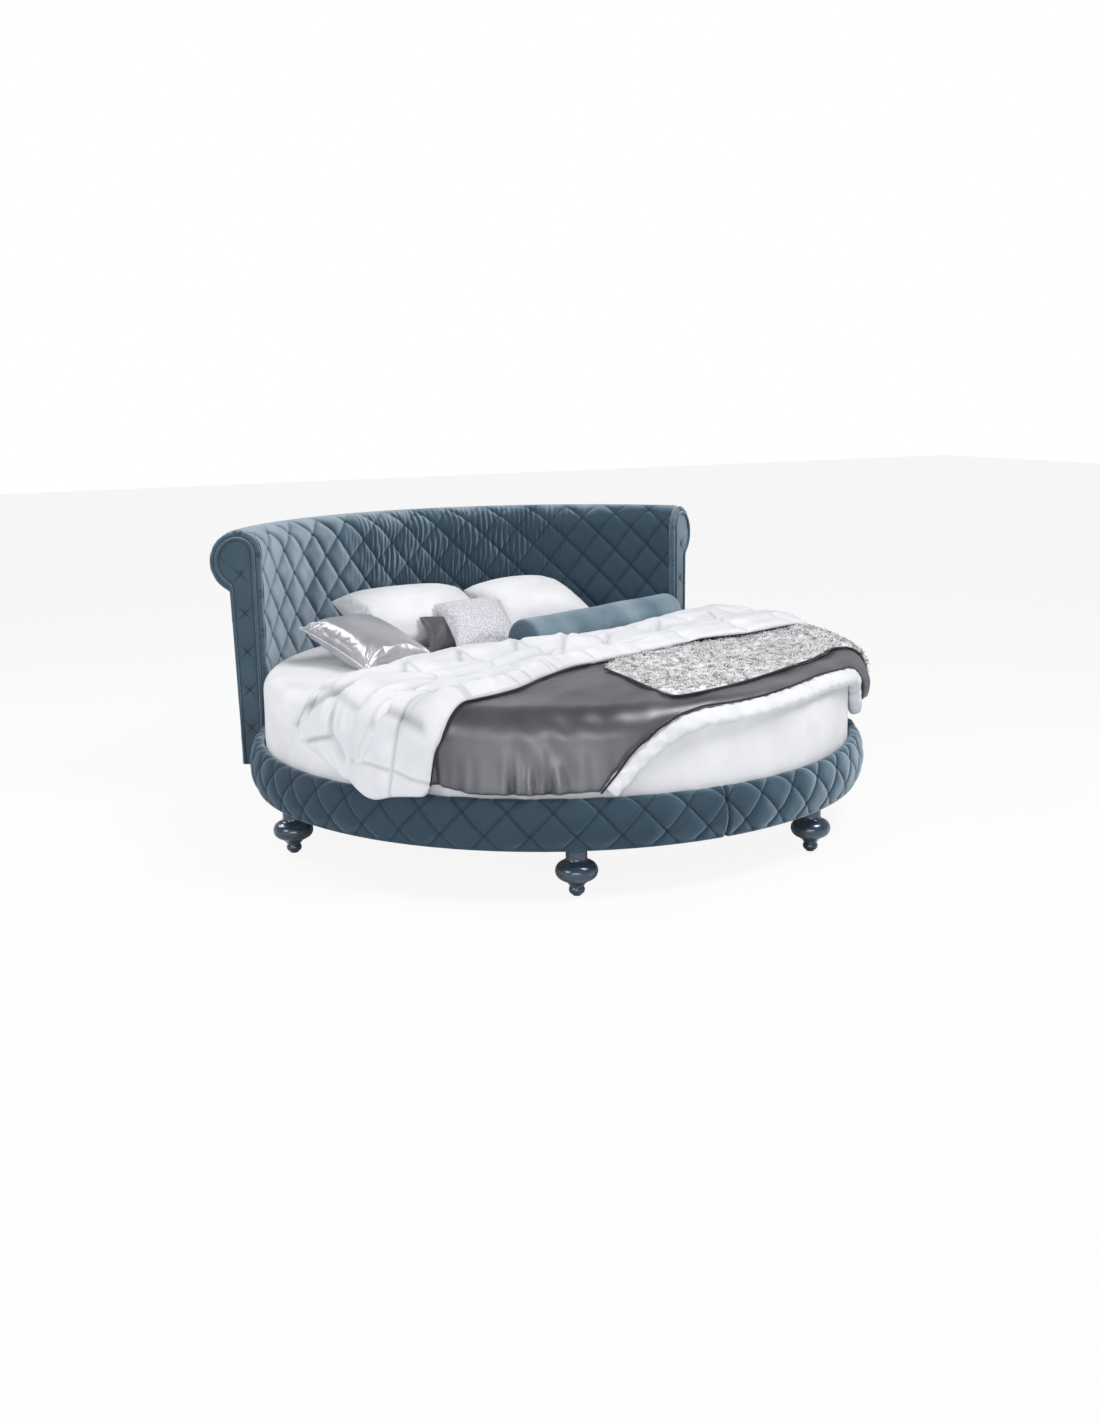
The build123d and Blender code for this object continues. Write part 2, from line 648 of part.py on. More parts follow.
# End panels close the headboard's two ends, with a welt piping round each
for name, angle, inward in (("right", head_start_angle, -1), ("left", 360 - head_start_angle, 1)):
    with BuildPart() as end_panel:
        extrude(head_face(angle, end_panel_inset, end_panel_inset, head_bottom_height),
                amount=inward * end_panel_thickness)
    finish(end_panel, "end_panel_" + name)

    piping_plane = radial_plane(angle).offset(-inward * (piping_radius + running_gap))
    p = head_points(end_piping_inset, end_piping_back_inset)
    lowest = head_bottom_height + piping_radius
    with BuildPart() as piping:
        with BuildLine(piping_plane):
            up = Line((head_inner_radius + end_piping_inset, lowest), p["front"])
            ThreePointArc(p["front"], p["lip_middle"], p["junction"])
            ThreePointArc(p["junction"], p["scroll_middle"], p["under"])
        with BuildSketch(Plane(origin=up @ 0, z_dir=up % 0)):
            Circle(piping_radius)
        sweep()
        with BuildLine(piping_plane):
            down = Line(p["under"], (head_back_bottom_radius - end_piping_back_inset, lowest))
        with BuildSketch(Plane(origin=down @ 0, z_dir=down % 0)):
            Circle(piping_radius)
        sweep()
    finish(piping, "end_piping_" + name)

# Mattress, and the fitted sheet drawn over it
sheet_hem_inner = sheet_radius - sheet_thickness
with BuildPart() as mattress:
    mattress_radius = sheet_hem_inner - soft_gap
    top = mattress_top_height - sheet_thickness - soft_gap
    with BuildSketch(Plane.XY.offset(mattress_bottom_height)):
        Circle(mattress_radius)
    extrude(amount=top - mattress_bottom_height)
    fillet(mattress.edges().group_by(Axis.Z)[-1], mattress_edge_radius - sheet_thickness - soft_gap)
    fillet(mattress.edges().group_by(Axis.Z)[0], mattress_foot_radius)
finish(mattress, "mattress")

with BuildPart() as sheet:
    with BuildSketch(radial_plane(90)):
        shoulder = (sheet_radius - mattress_edge_radius, mattress_top_height - mattress_edge_radius)
        outer_middle = on_circle(shoulder, mattress_edge_radius, 45)
        inner_edge = mattress_edge_radius - sheet_thickness
        inner_middle = on_circle(shoulder, inner_edge, 45)
        under = mattress_top_height - sheet_thickness
        with BuildLine():
            Polyline((0, under), (0, mattress_top_height), (shoulder[0], mattress_top_height))
            ThreePointArc((shoulder[0], mattress_top_height), outer_middle, (sheet_radius, shoulder[1]))
            Polyline((sheet_radius, shoulder[1]), (sheet_radius, sheet_hem_height),
                     (sheet_hem_inner, sheet_hem_height), (sheet_hem_inner, shoulder[1]))
            ThreePointArc((sheet_hem_inner, shoulder[1]), inner_middle, (shoulder[0], under))
            Line((shoulder[0], under), (0, under))
        make_face()
    revolve(axis=Axis.Z)
finish(sheet, "fitted_sheet")

# Covers that lie on the mattress and hang over its rim are lofts through radial sections
cover_under = mattress_top_height + soft_gap
cover_edge = mattress_edge_radius + soft_gap
shoulder_radius = sheet_radius - mattress_edge_radius
full_drop = cover_under - ring_crown_height - soft_gap
chord_scale = 1 / cos(radians(duvet_section_step / 2))
inner_ring = shoulder_radius - mattress_edge_radius


def share_at(angle, shares):
    """The hem's share at an angle, between the stations of a table."""
    for (a0, s0), (a1, s1) in zip(shares, shares[1:]):
        if angle <= a1:
            return s0 + (s1 - s0) * (angle - a0) / (a1 - a0)
    return shares[-1][1]


def section_angles(first, last):
    """Evenly spaced angles, no further apart than the section step."""
    steps = int((last - first) / duvet_section_step) + 1
    return [first + (last - first) * k / steps for k in range(steps + 1)]


def rim_section(angle, lift, slack, thickness, share, land, wave):
    """The section of a cover at one angle: flat, round the rim, then down to its hem."""
    edge = cover_edge + lift
    centre = (shoulder_radius * chord_scale + slack, cover_under - cover_edge)
    drop = share * full_drop
    if drop - land >= cover_edge:
        turn = 90
        fall = drop - cover_edge
    else:
        turn = degrees(acos(1 - max(drop - land, land / 2) / cover_edge))
        fall = land
    out = (sin(radians(turn)), cos(radians(turn)))
    down = (out[1], -out[0])
    inner_end = (centre[0] + edge * out[0], centre[1] + edge * out[1])
    outer_end = (inner_end[0] + thickness * out[0], inner_end[1] + thickness * out[1])
    hem = (inner_end[0] + fall * down[0] + wave * out[0], inner_end[1] + fall * down[1] + wave * out[1])
    hem_out = (hem[0] + thickness * out[0], hem[1] + thickness * out[1])
    base = centre[1] + edge
    with BuildSketch(radial_plane(angle)) as section:
        with BuildLine():
            Line((inner_ring * chord_scale, base), (centre[0], base))
            ThreePointArc((centre[0], base), on_circle(centre, edge, 90 - turn / 2), inner_end)
            Polyline(inner_end, hem, hem_out, outer_end)
            ThreePointArc(outer_end, on_circle(centre, edge + thickness, 90 - turn / 2),
                          (centre[0], base + thickness))
            Polyline((centre[0], base + thickness), (inner_ring * chord_scale, base + thickness),
                     (inner_ring * chord_scale, base))
        make_face()
    return section.sketch


def rim_cover(angles, lift, slack, thickness, shares, land, wave):
    """The part of a cover that goes round the rim, with shallow folds where it hangs."""
    sections = []
    for k, angle in enumerate(angles):
        share = share_at(angle, shares)
        fold = wave * (k % 2) * max(share * full_drop - cover_edge - land, 0) / full_drop
        sections.append(rim_section(angle, lift, slack, thickness, share, land, fold))
    loft(sections, ruled=True)


def rim_points(angles):
    """Where the sections start, seen from above."""
    r = inner_ring * chord_scale
    return [(r * sin(radians(a)), -r * cos(radians(a))) for a in angles]


duvet_angles = section_angles(duvet_left_angle, duvet_right_angle)
fold_left_angles = [angle for angle in duvet_angles if angle <= duvet_fold_left_end_angle]
fold_right_angles = [angle for angle in duvet_angles if angle >= duvet_fold_right_start_angle]
fold_lift = duvet_thickness - duvet_fold_bite
band_base = cover_under + duvet_thickness - duvet_fold_bite


def band_corner(x, slope, offset, shrink, side):
    """A corner of the folded band, drawn in by a margin along and across."""
    return (x, slope * x + offset + side * shrink)


def band_outline(height, shrink):
    """The folded band seen from above at a height, between the head edge and the fold line."""
    reach = inner_ring * cos(radians(duvet_right_angle - 90)) - shrink
    with BuildSketch(Plane.XY.offset(band_base + height)) as outline:
        with BuildLine():
            Polyline(band_corner(-reach, duvet_head_slope_share, duvet_head_offset, shrink, -1),
                     band_corner(reach, duvet_head_slope_share, duvet_head_offset, shrink, -1),
                     band_corner(reach, duvet_ridge_slope_share, duvet_ridge_offset, shrink, 1),
                     band_corner(-reach, duvet_ridge_slope_share, duvet_ridge_offset, shrink, 1), close=True)
        make_face()
    return outline.sketch


with BuildPart() as duvet:
    rim_cover(duvet_angles, 0, cover_slack, duvet_thickness, duvet_hem_shares, duvet_hem_land,
              duvet_fold_wave)
    with BuildSketch(Plane.XY.offset(cover_under)):
        with BuildLine():
            Polyline(*rim_points(duvet_angles), close=True)
        make_face()
    extrude(amount=duvet_thickness)
    for angles in (fold_left_angles, fold_right_angles):
        rim_cover(angles, fold_lift, cover_slack, duvet_fold_thickness, duvet_hem_shares, duvet_hem_land,
                  duvet_fold_wave)
    loft([band_outline(0, 0), band_outline(duvet_band_height, 0),
          band_outline(duvet_band_height + duvet_band_crown, duvet_band_shoulder)], ruled=True)
finish(duvet, "duvet")

# Fur throw: one thick layer across the right of the duvet, ending just over its rim
throw_lift = duvet_thickness + soft_gap
throw_angles = section_angles(throw_left_angle, throw_right_angle)
with BuildPart() as throw:
    rim_cover(throw_angles, throw_lift, 2 * cover_slack, throw_thickness, throw_hem_shares, throw_hem_land, 0)
    with BuildSketch(Plane.XY.offset(cover_under + throw_lift)):
        far_corner = (throw_far_x_share * sheet_radius, throw_far_y_share * sheet_radius)
        near_corner = (throw_tip_x_share * sheet_radius, throw_tip_y_share * sheet_radius)
        with BuildLine():
            Polyline(*rim_points(throw_angles), far_corner, near_corner, close=True)
        make_face()
    extrude(amount=throw_thickness)
finish(throw, "fur_throw")


def pillow_plane(place, yaw, lean):
    """The middle plane of a pillow: x along its width, y up its slope."""
    a = radians(yaw)
    t = radians(lean)
    along = Vector(cos(a), sin(a), 0)
    slope = Vector(-sin(a) * cos(t), cos(a) * cos(t), sin(t))
    return Plane(origin=(place[0], place[1], mattress_top_height + place[2]), x_dir=along,
                 z_dir=along.cross(slope))


def pillow_outline(plane, width, height, pinch):
    """A four-cornered outline whose sides are drawn in between the corners."""
    w = width / 2
    h = height / 2
    with BuildSketch(plane) as outline:
        with BuildLine():
            ThreePointArc((-w, -h), (0, -h + pinch * height), (w, -h))
            ThreePointArc((w, -h), (w - pinch * width, 0), (w, h))
            ThreePointArc((w, h), (0, h - pinch * height), (-w, h))
            ThreePointArc((-w, h), (-w + pinch * width, 0), (-w, -h))
        make_face()
    return outline.sketch


# Height through a pillow and the outline there, as shares of its thickness and size
pillow_crown_shares = [(-0.5, 0.50), (-0.40, 0.76), (-0.22, 0.92), (0, 1.0), (0.22, 0.92), (0.40, 0.76),
                       (0.5, 0.50)]


def pillow_solid(size, place, yaw, lean, grow, mode):
    """A crowned pillow, or the space one takes, in the part being built."""
    plane = pillow_plane(place, yaw, lean)
    width, height, thickness = (side + 2 * grow for side in size)
    sections = [pillow_outline(plane.offset(level * thickness), share * width, share * height,
                               pillow_pinch_share * share) for level, share in pillow_crown_shares]
    loft(sections, ruled=True, mode=mode)


def pillow_shadow(size, place, yaw, lean, grow):
    """Remove what lies under another pillow, so that this one can be lifted off it."""
    width, height, thickness = (side + 2 * grow for side in size)
    seam = pillow_outline(pillow_plane(place, yaw, lean), width, height, pillow_pinch_share)
    extrude(seam, amount=2 * thickness, dir=(0, 0, -1), mode=Mode.SUBTRACT)


pillows = {"white_pillow_left": (white_left_size, white_left_place, white_yaw, white_lean),
           "white_pillow_right": (white_right_size, white_right_place, white_yaw, white_lean),
           "grey_pillow": (grey_size, grey_place, grey_yaw, grey_lean),
           "silver_pillow": (silver_size, silver_place, silver_yaw, silver_lean),
           "square_cushion": (cushion_size, cushion_place, cushion_yaw, cushion_lean)}
leans_on = {"white_pillow_left": [], "white_pillow_right": [], "grey_pillow": ["white_pillow_left"],
            "silver_pillow": ["white_pillow_left"],
            "square_cushion": ["white_pillow_left", "grey_pillow"]}

# Pillows: each is pressed flat where it lies on the mattress and hollowed where it leans on another
for name, (size, place, yaw, lean) in pillows.items():
    with BuildPart() as pillow:
        pillow_solid(size, place, yaw, lean, 0, Mode.ADD)
        with Locations((place[0], place[1], cover_under - size[1] / 2)):
            Box(2 * size[0], 2 * size[0], size[1], mode=Mode.SUBTRACT)
        for other in leans_on[name]:
            pillow_solid(*pillows[other], soft_gap, Mode.SUBTRACT)
            pillow_shadow(*pillows[other], soft_gap)
    finish(pillow, name)

# Bolster: a velvet roll with rounded ends, pressed flat underneath
bolster_height = cover_under + bolster_radius - bolster_flat
with BuildPart() as bolster:
    a = radians(bolster_yaw)
    bolster_plane = Plane(origin=(bolster_place[0], bolster_place[1], bolster_height),
                          x_dir=(cos(a), sin(a), 0), z_dir=(sin(a), -cos(a), 0))
    half = bolster_length / 2
    corner = bolster_round * (1 - cos(radians(45)))
    with BuildSketch(bolster_plane):
        with BuildLine():
            Line((-half, 0), (-half, bolster_radius - bolster_round))
            ThreePointArc((-half, bolster_radius - bolster_round), (-half + corner, bolster_radius - corner),
                          (-half + bolster_round, bolster_radius))
            Line((-half + bolster_round, bolster_radius), (half - bolster_round, bolster_radius))
            ThreePointArc((half - bolster_round, bolster_radius), (half - corner, bolster_radius - corner),
                          (half, bolster_radius - bolster_round))
            Polyline((half, bolster_radius - bolster_round), (half, 0), (-half, 0))
        make_face()
    revolve(axis=Axis(bolster_plane.origin, bolster_plane.x_dir))
    with Locations((bolster_place[0], bolster_place[1], cover_under - bolster_radius)):
        Box(2 * bolster_length, 2 * bolster_length, 2 * bolster_radius, mode=Mode.SUBTRACT)
finish(bolster, "velvet_bolster")
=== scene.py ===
import math

import bmesh
import bpy
import numpy as np
from mathutils import Matrix, Vector


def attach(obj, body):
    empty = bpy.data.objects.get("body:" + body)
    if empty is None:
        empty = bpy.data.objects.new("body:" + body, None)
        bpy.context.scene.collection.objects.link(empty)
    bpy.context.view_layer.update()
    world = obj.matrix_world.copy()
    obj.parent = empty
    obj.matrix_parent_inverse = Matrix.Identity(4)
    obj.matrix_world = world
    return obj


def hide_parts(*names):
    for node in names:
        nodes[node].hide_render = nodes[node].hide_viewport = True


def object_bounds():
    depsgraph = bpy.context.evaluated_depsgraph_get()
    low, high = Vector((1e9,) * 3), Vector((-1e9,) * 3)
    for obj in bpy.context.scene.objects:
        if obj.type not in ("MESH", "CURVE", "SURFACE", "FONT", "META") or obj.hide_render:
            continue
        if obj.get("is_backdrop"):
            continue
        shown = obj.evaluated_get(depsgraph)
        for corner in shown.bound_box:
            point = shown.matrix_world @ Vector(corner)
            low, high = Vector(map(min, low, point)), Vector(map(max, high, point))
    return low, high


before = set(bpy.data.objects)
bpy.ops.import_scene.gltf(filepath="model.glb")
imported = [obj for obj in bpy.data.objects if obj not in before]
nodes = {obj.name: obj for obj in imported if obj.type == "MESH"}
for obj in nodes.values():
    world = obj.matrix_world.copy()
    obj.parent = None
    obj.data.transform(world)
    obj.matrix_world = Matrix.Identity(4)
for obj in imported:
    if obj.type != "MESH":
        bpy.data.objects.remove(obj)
cad_box = [list(corner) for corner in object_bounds()]
scene = bpy.context.scene


# Camera: eye level at the foot of the bed, a little to its left, as in the photograph.
# The shift only centres the picture the way the photograph is framed.
def look_from(place, ahead, roll, lens, shift):
    data = bpy.data.cameras.new("camera")
    data.lens = lens
    data.sensor_width = 36
    data.shift_x = shift
    data.clip_end = 100
    ahead = Vector(ahead).normalized()
    right = ahead.cross(Vector((0, 0, 1))).normalized()
    up = right.cross(ahead)
    across = right * math.cos(roll) + up * math.sin(roll)
    upright = up * math.cos(roll) - right * math.sin(roll)
    turn = Matrix((across, upright, -ahead)).transposed().to_4x4()
    camera = bpy.data.objects.new("camera", data)
    camera.matrix_world = Matrix.Translation(place) @ turn
    scene.collection.objects.link(camera)
    scene.camera = camera


heading = math.radians(-30.1038)
tilt = math.radians(11.8104)
look_from(place=(-2.8605, -5.2881, 1.6348),
          ahead=(-math.sin(heading) * math.cos(tilt), math.cos(heading) * math.cos(tilt), -math.sin(tilt)),
          roll=math.radians(-0.5047), lens=40.42, shift=-0.0379)

# Studio: a pale floor that keeps the bed's shadow, a white surround that only the camera and clear
# things see, and four soft boxes.
scene.view_settings.view_transform = "Standard"


def plain(r, g, b):
    """A colour given as it is seen, 0 to 255, in the linear values that a shader takes."""
    def linear(c):
        c = c / 255
        return c / 12.92 if c <= 0.04045 else ((c + 0.055) / 1.055) ** 2.4
    return (linear(r), linear(g), linear(b), 1.0)


def colours(*stops):
    """The stops of a ramp, each given by its place and its colour as seen."""
    return [(at, plain(*rgb)) for at, *rgb in stops]


def settle(node, **sockets):
    """Set some of a node's inputs; an underscore stands for the space in a socket's name."""
    for name, value in sockets.items():
        node.inputs[name.replace("_", " ")].default_value = value


def node_of(tree, kind, **sockets):
    """A new node with some of its inputs set."""
    node = tree.nodes.new(kind)
    settle(node, **sockets)
    return node


def wire(tree, *pairs):
    """Join outputs to inputs."""
    for source, target in pairs:
        tree.links.new(source, target)


def feed(tree, socket, value):
    """Set an input to a number or a vector, or join it to an output."""
    if isinstance(value, (int, float, tuple)):
        socket.default_value = value
    else:
        tree.links.new(value, socket)


def ramp(tree, value, stops):
    """A colour ramp over a value."""
    node = tree.nodes.new("ShaderNodeValToRGB")
    while len(node.color_ramp.elements) < len(stops):
        node.color_ramp.elements.new(0.5)
    for element, (at, colour) in zip(node.color_ramp.elements, stops):
        element.position = at
        element.color = colour
    tree.links.new(value, node.inputs["Fac"])
    return node.outputs["Color"]


def arithmetic(tree, operation, *values, kind="ShaderNodeMath"):
    """A math node, or one for vectors; its values are sockets or numbers."""
    node = tree.nodes.new(kind)
    node.operation = operation
    for socket, value in zip(node.inputs, values):
        feed(tree, socket, value)
    return node.outputs[0]


def finish_of(name):
    """A new material with its node tree and its Principled BSDF."""
    material = bpy.data.materials.new(name)
    material.use_nodes = True
    return material, material.node_tree, material.node_tree.nodes["Principled BSDF"]


def mixed(tree, share, first, second, end):
    """Mix two shaders into the surface of the end node."""
    mix = tree.nodes.new("ShaderNodeMixShader")
    wire(tree, (share, mix.inputs["Fac"]), (first.outputs[0], mix.inputs[1]),
         (second.outputs[0], mix.inputs[2]), (mix.outputs[0], tree.nodes[end].inputs["Surface"]))


world = bpy.data.worlds.new("studio")
scene.world = world
world.use_nodes = True
tree = world.node_tree
soft = tree.nodes["Background"]
settle(soft, Strength=0.54)
facing = tree.nodes.new("ShaderNodeTexCoord")
split = tree.nodes.new("ShaderNodeSeparateXYZ")
tree.links.new(facing.outputs["Generated"], split.inputs[0])
tree.links.new(ramp(tree, split.outputs["Z"], colours((0.05, 242, 243, 246), (0.75, 150, 154, 160))),
               soft.inputs["Color"])
white = node_of(tree, "ShaderNodeBackground", Color=(1, 1, 1, 1), Strength=1.0)
path = tree.nodes.new("ShaderNodeLightPath")
seen = arithmetic(tree, "MAXIMUM", path.outputs["Is Camera Ray"], path.outputs["Is Transmission Ray"])
mixed(tree, seen, soft, white, "World Output")

bpy.ops.mesh.primitive_plane_add(size=40, location=(0, 0, 0))
floor = bpy.context.object
floor.name = "floor"
floor_paint, tree, paint = finish_of("floor_paint")
settle(paint, Base_Color=plain(236, 238, 240), Roughness=0.8)
glow = node_of(tree, "ShaderNodeEmission", Color=(1, 1, 1, 1), Strength=1.0)
path = tree.nodes.new("ShaderNodeLightPath")
share = arithmetic(tree, "MULTIPLY", path.outputs["Is Camera Ray"], 0.90)
mixed(tree, share, paint, glow, "Material Output")
floor.data.materials.append(floor_paint)
floor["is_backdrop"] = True

for name, place, size, power, aim in (("key_box", (1.4, -2.4, 4.2), (1.8, 1.8), 158, (0, 0, 0.5)),
                                      ("front_box", (-3.2, -5.6, 1.35), (4.2, 1.3), 88, (0, 0, 0.5)),
                                      ("side_box", (-4.6, -1.6, 2.2), (1.8, 1.4), 44, (-0.6, 0, 0.6)),
                                      ("back_box", (-2.6, 2.6, 3.4), (1.8, 1.8), 75, (0, 0, 0.6))):
    data = bpy.data.lights.new(name, "AREA")
    data.energy = power
    data.shape = "RECTANGLE"
    data.size, data.size_y = size
    lamp = bpy.data.objects.new(name, data)
    lamp.location = place
    lamp.rotation_euler = (Vector(place) - Vector(aim)).to_track_quat("Z", "Y").to_euler()
    scene.collection.objects.link(lamp)


# Rails, base board, ribs and skins: bent birch plywood, its plies showing on the cut edges.
# The parts stay as the frame gives them and only get their finish.
def noise_group(name, inputs, noises, *more):
    """A shader node group that puts out noises on the piece's own coordinates.

    A noise has its scale, a number or the name of an input, its stretch along the axes and its detail.
    The group comes with its end node and its noises, for further outputs to be made from them.
    """
    group = bpy.data.node_groups.new(name, "ShaderNodeTree")
    for socket, value in inputs.items():
        entry = group.interface.new_socket(socket, in_out="INPUT", socket_type="NodeSocketFloat")
        entry.default_value = value
    for socket in (*noises, *more):
        group.interface.new_socket(socket, in_out="OUTPUT", socket_type="NodeSocketFloat")
    start, end = group.nodes.new("NodeGroupInput"), group.nodes.new("NodeGroupOutput")
    made = []
    for socket, (scale, stretch, detail) in noises.items():
        place = group.nodes.new("ShaderNodeTexCoord")
        turn = node_of(group, "ShaderNodeMapping", Scale=stretch)
        cloud = node_of(group, "ShaderNodeTexNoise", Detail=detail)
        feed(group, cloud.inputs["Scale"], start.outputs[scale] if isinstance(scale, str) else scale)
        wire(group, (place.outputs["Object"], turn.inputs["Vector"]),
             (turn.outputs["Vector"], cloud.inputs["Vector"]), (cloud.outputs["Fac"], end.inputs[socket]))
        made.append(cloud.outputs["Fac"])
    return group, end, made


def place_group(tree, group, **sockets):
    """A node group placed in a material with its own values."""
    node = tree.nodes.new("ShaderNodeGroup")
    node.node_tree = group
    settle(node, **sockets)
    return node


def bump(tree, bsdf, height, depth, strength=1.0):
    """Feed a height to the shader's normal."""
    node = node_of(tree, "ShaderNodeBump", Distance=depth, Strength=strength)
    wire(tree, (height, node.inputs["Height"]), (node.outputs["Normal"], bsdf.inputs["Normal"]))


def uneven(tree, bsdf, value, low, high):
    """Let the roughness drift between two levels."""
    levels = [(0.3, (low, low, low, 1)), (0.7, (high, high, high, 1))]
    tree.links.new(ramp(tree, value, levels), bsdf.inputs["Roughness"])


wood_grain = noise_group("wood_grain", {"Scale": 6.0},
                         {"Grain": ("Scale", (1, 1, 9), 4.0), "Pores": (9.0, (18, 18, 160), 2.0)})[0]


def wooden(name, dark, light, rough):
    """Planed wood or plywood: long grain, fine pores, a little uneven sheen."""
    material, tree, bsdf = finish_of(name)
    grain = place_group(tree, wood_grain, Scale=5.0)
    tree.links.new(ramp(tree, grain.outputs["Grain"], colours((0.35, *dark), (0.68, *light))),
                   bsdf.inputs["Base Color"])
    uneven(tree, bsdf, grain.outputs["Pores"], rough - 0.08, rough + 0.1)
    bump(tree, bsdf, grain.outputs["Pores"], 0.0004)
    return material


def dress(material, *names):
    """Give CAD nodes their finish."""
    for name in names:
        mesh = nodes[name].data
        mesh.materials.clear()
        mesh.materials.append(material)


plywood = wooden("birch_plywood", (176, 146, 108), (206, 178, 138), 0.6)
dress(plywood, "rail_right", "rail_left", "headboard_inner_panel", "headboard_scroll_skin",
      "headboard_back_panel", "headboard_base_board", "headboard_ribs")

# Ledges, slats, foot blocks and the headboard's bolt rail: planed beech. The ledges are screwed to
# the rails, the foot blocks glued in, and the slats lie on the ledges.
beech = wooden("planed_beech", (188, 152, 112), (214, 184, 146), 0.5)
dress(beech, "ledge_right", "ledge_left", "slats_right", "slats_left", "foot_blocks", "headboard_bolt_rail")

# Spine, brackets, joint plates and centre leg: welded steel with a black powder coat, whose fine
# orange peel shows as specks.
surface_speck = noise_group("surface_speck", {"Scale": 400.0}, {"Specks": ("Scale", (1, 1, 1), 2.0)})[0]


def specked(name, scale, stops, rough, depth=0.0, **sockets):
    """A finish with fine specks: its colours over them, its roughness, and how deep they are."""
    material, tree, bsdf = finish_of(name)
    specks = place_group(tree, surface_speck, Scale=scale).outputs["Specks"]
    tree.links.new(ramp(tree, specks, colours(*stops)), bsdf.inputs["Base Color"])
    if isinstance(rough, tuple):
        uneven(tree, bsdf, specks, *rough)
    else:
        settle(bsdf, Roughness=rough)
    if depth:
        bump(tree, bsdf, specks, depth)
    settle(bsdf, **sockets)
    return material


powder_coat = specked("black_powder_coat", 420.0, [(0.3, 24, 25, 27), (0.7, 40, 41, 44)], (0.42, 0.58),
                      0.0002)
dress(powder_coat, "spine_tube", "spine_brackets", "joint_plates", "centre_leg")

# Screws, bolts and the levelling glide: zinc plated steel, bought ready made. The feet stand on
# glides punched from dark felt.
zinc = specked("zinc_plate", 240.0, [(0.3, 176, 178, 178), (0.7, 206, 207, 204)], (0.26, 0.42),
               Metallic=1.0)
dress(zinc, "joint_screws", "ledge_screws", "foot_hanger_bolts", "headboard_bolts", "levelling_glide")
felt = specked("dark_felt", 900.0, [(0.3, 28, 28, 30), (0.7, 58, 58, 60)], 0.95, 0.0006)
dress(felt, "foot_glides")


# Bun feet: turned wood with a tip, a belly and a collar, sprayed dark blue and lacquered to a gloss.
# Each is spun from one profile, like the real one on a lathe.
def mesh_of(name, points, faces=(), edges=()):
    """A mesh from points and the faces or edges between them."""
    mesh = bpy.data.meshes.new(name)
    mesh.from_pydata([tuple(p) for p in np.asarray(points, float)], list(edges), list(faces))
    return mesh


def new_piece(name, points, faces, material, body, replaces=()):
    """A mesh piece in the bed's frame that rides on a body."""
    mesh = mesh_of(name, points, faces)
    mesh.polygons.foreach_set("use_smooth", [True] * len(mesh.polygons))
    mesh.materials.append(material)
    mesh.update()
    piece = bpy.data.objects.new(name, mesh)
    scene.collection.objects.link(piece)
    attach(piece, body)
    if replaces:
        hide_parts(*replaces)
    return piece


def arc(a, b, c, count):
    """Points on the circle through three points, from the first to the last."""
    (ax, ay), (bx, by), (cx, cy) = a, b, c
    d = 2 * (ax * (by - cy) + bx * (cy - ay) + cx * (ay - by))
    ux = ((ax**2 + ay**2) * (by - cy) + (bx**2 + by**2) * (cy - ay) + (cx**2 + cy**2) * (ay - by)) / d
    uy = ((ax**2 + ay**2) * (cx - bx) + (bx**2 + by**2) * (ax - cx) + (cx**2 + cy**2) * (bx - ax)) / d
    radius = math.hypot(ax - ux, ay - uy)
    first, middle, last = (math.atan2(y - uy, x - ux) for x, y in (a, b, c))
    turn = (last - first) % (2 * math.pi)
    if (middle - first) % (2 * math.pi) > turn:
        turn -= 2 * math.pi
    turns = [first + turn * k / count for k in range(count + 1)]
    return [(ux + radius * math.cos(t), uy + radius * math.sin(t)) for t in turns]


def lathe(profile, centre, segments):
    """A solid spun from a profile of (radius, height) whose two ends lie on the axis."""
    points = [(centre[0], centre[1], profile[0][1])]
    for r, z in profile[1:-1]:
        for k in range(segments):
            a = 2 * math.pi * k / segments
            points.append((centre[0] + r * math.cos(a), centre[1] + r * math.sin(a), z))
    points.append((centre[0], centre[1], profile[-1][1]))
    faces = []
    rows = len(profile) - 2
    for k in range(segments):
        n = (k + 1) % segments
        faces.append((0, 1 + n, 1 + k))
        for row in range(rows - 1):
            a, b = 1 + row * segments, 1 + (row + 1) * segments
            faces.append((a + k, a + n, b + n, b + k))
        last = 1 + (rows - 1) * segments
        faces.append((last + k, last + n, len(points) - 1))
    return points, faces


lacquer = specked("blue_lacquer", 55.0, [(0.3, 33, 54, 70), (0.7, 40, 64, 81)], 0.28,
                  Coat_Weight=1.0, Coat_Roughness=0.05)
foot_circle = 1.088
foot_profile = [(0, 0.003), (0.0152, 0.003)]
foot_profile += arc((0.0165, 0.0042), (0.026, 0.016), (0.0236, 0.0278), 10)
foot_profile += arc((0.0222, 0.0296), (0.0316, 0.0425), (0.050, 0.054), 10)
foot_profile += arc((0.0508, 0.0548), (0.0695, 0.084), (0.0508, 0.1112), 22)
foot_profile += [(0.0494, 0.1122), (0.0480, 0.1128)]
foot_profile += arc((0.0455, 0.1142), (0.0377, 0.1192), (0.0350, 0.130), 8)
foot_profile += [(0.0350, 0.1508), (0.0356, 0.1522)]
foot_profile += arc((0.0372, 0.1528), (0.0408, 0.1565), (0.0412, 0.160), 5)
foot_profile += [(0.0408, 0.161), (0, 0.161)]
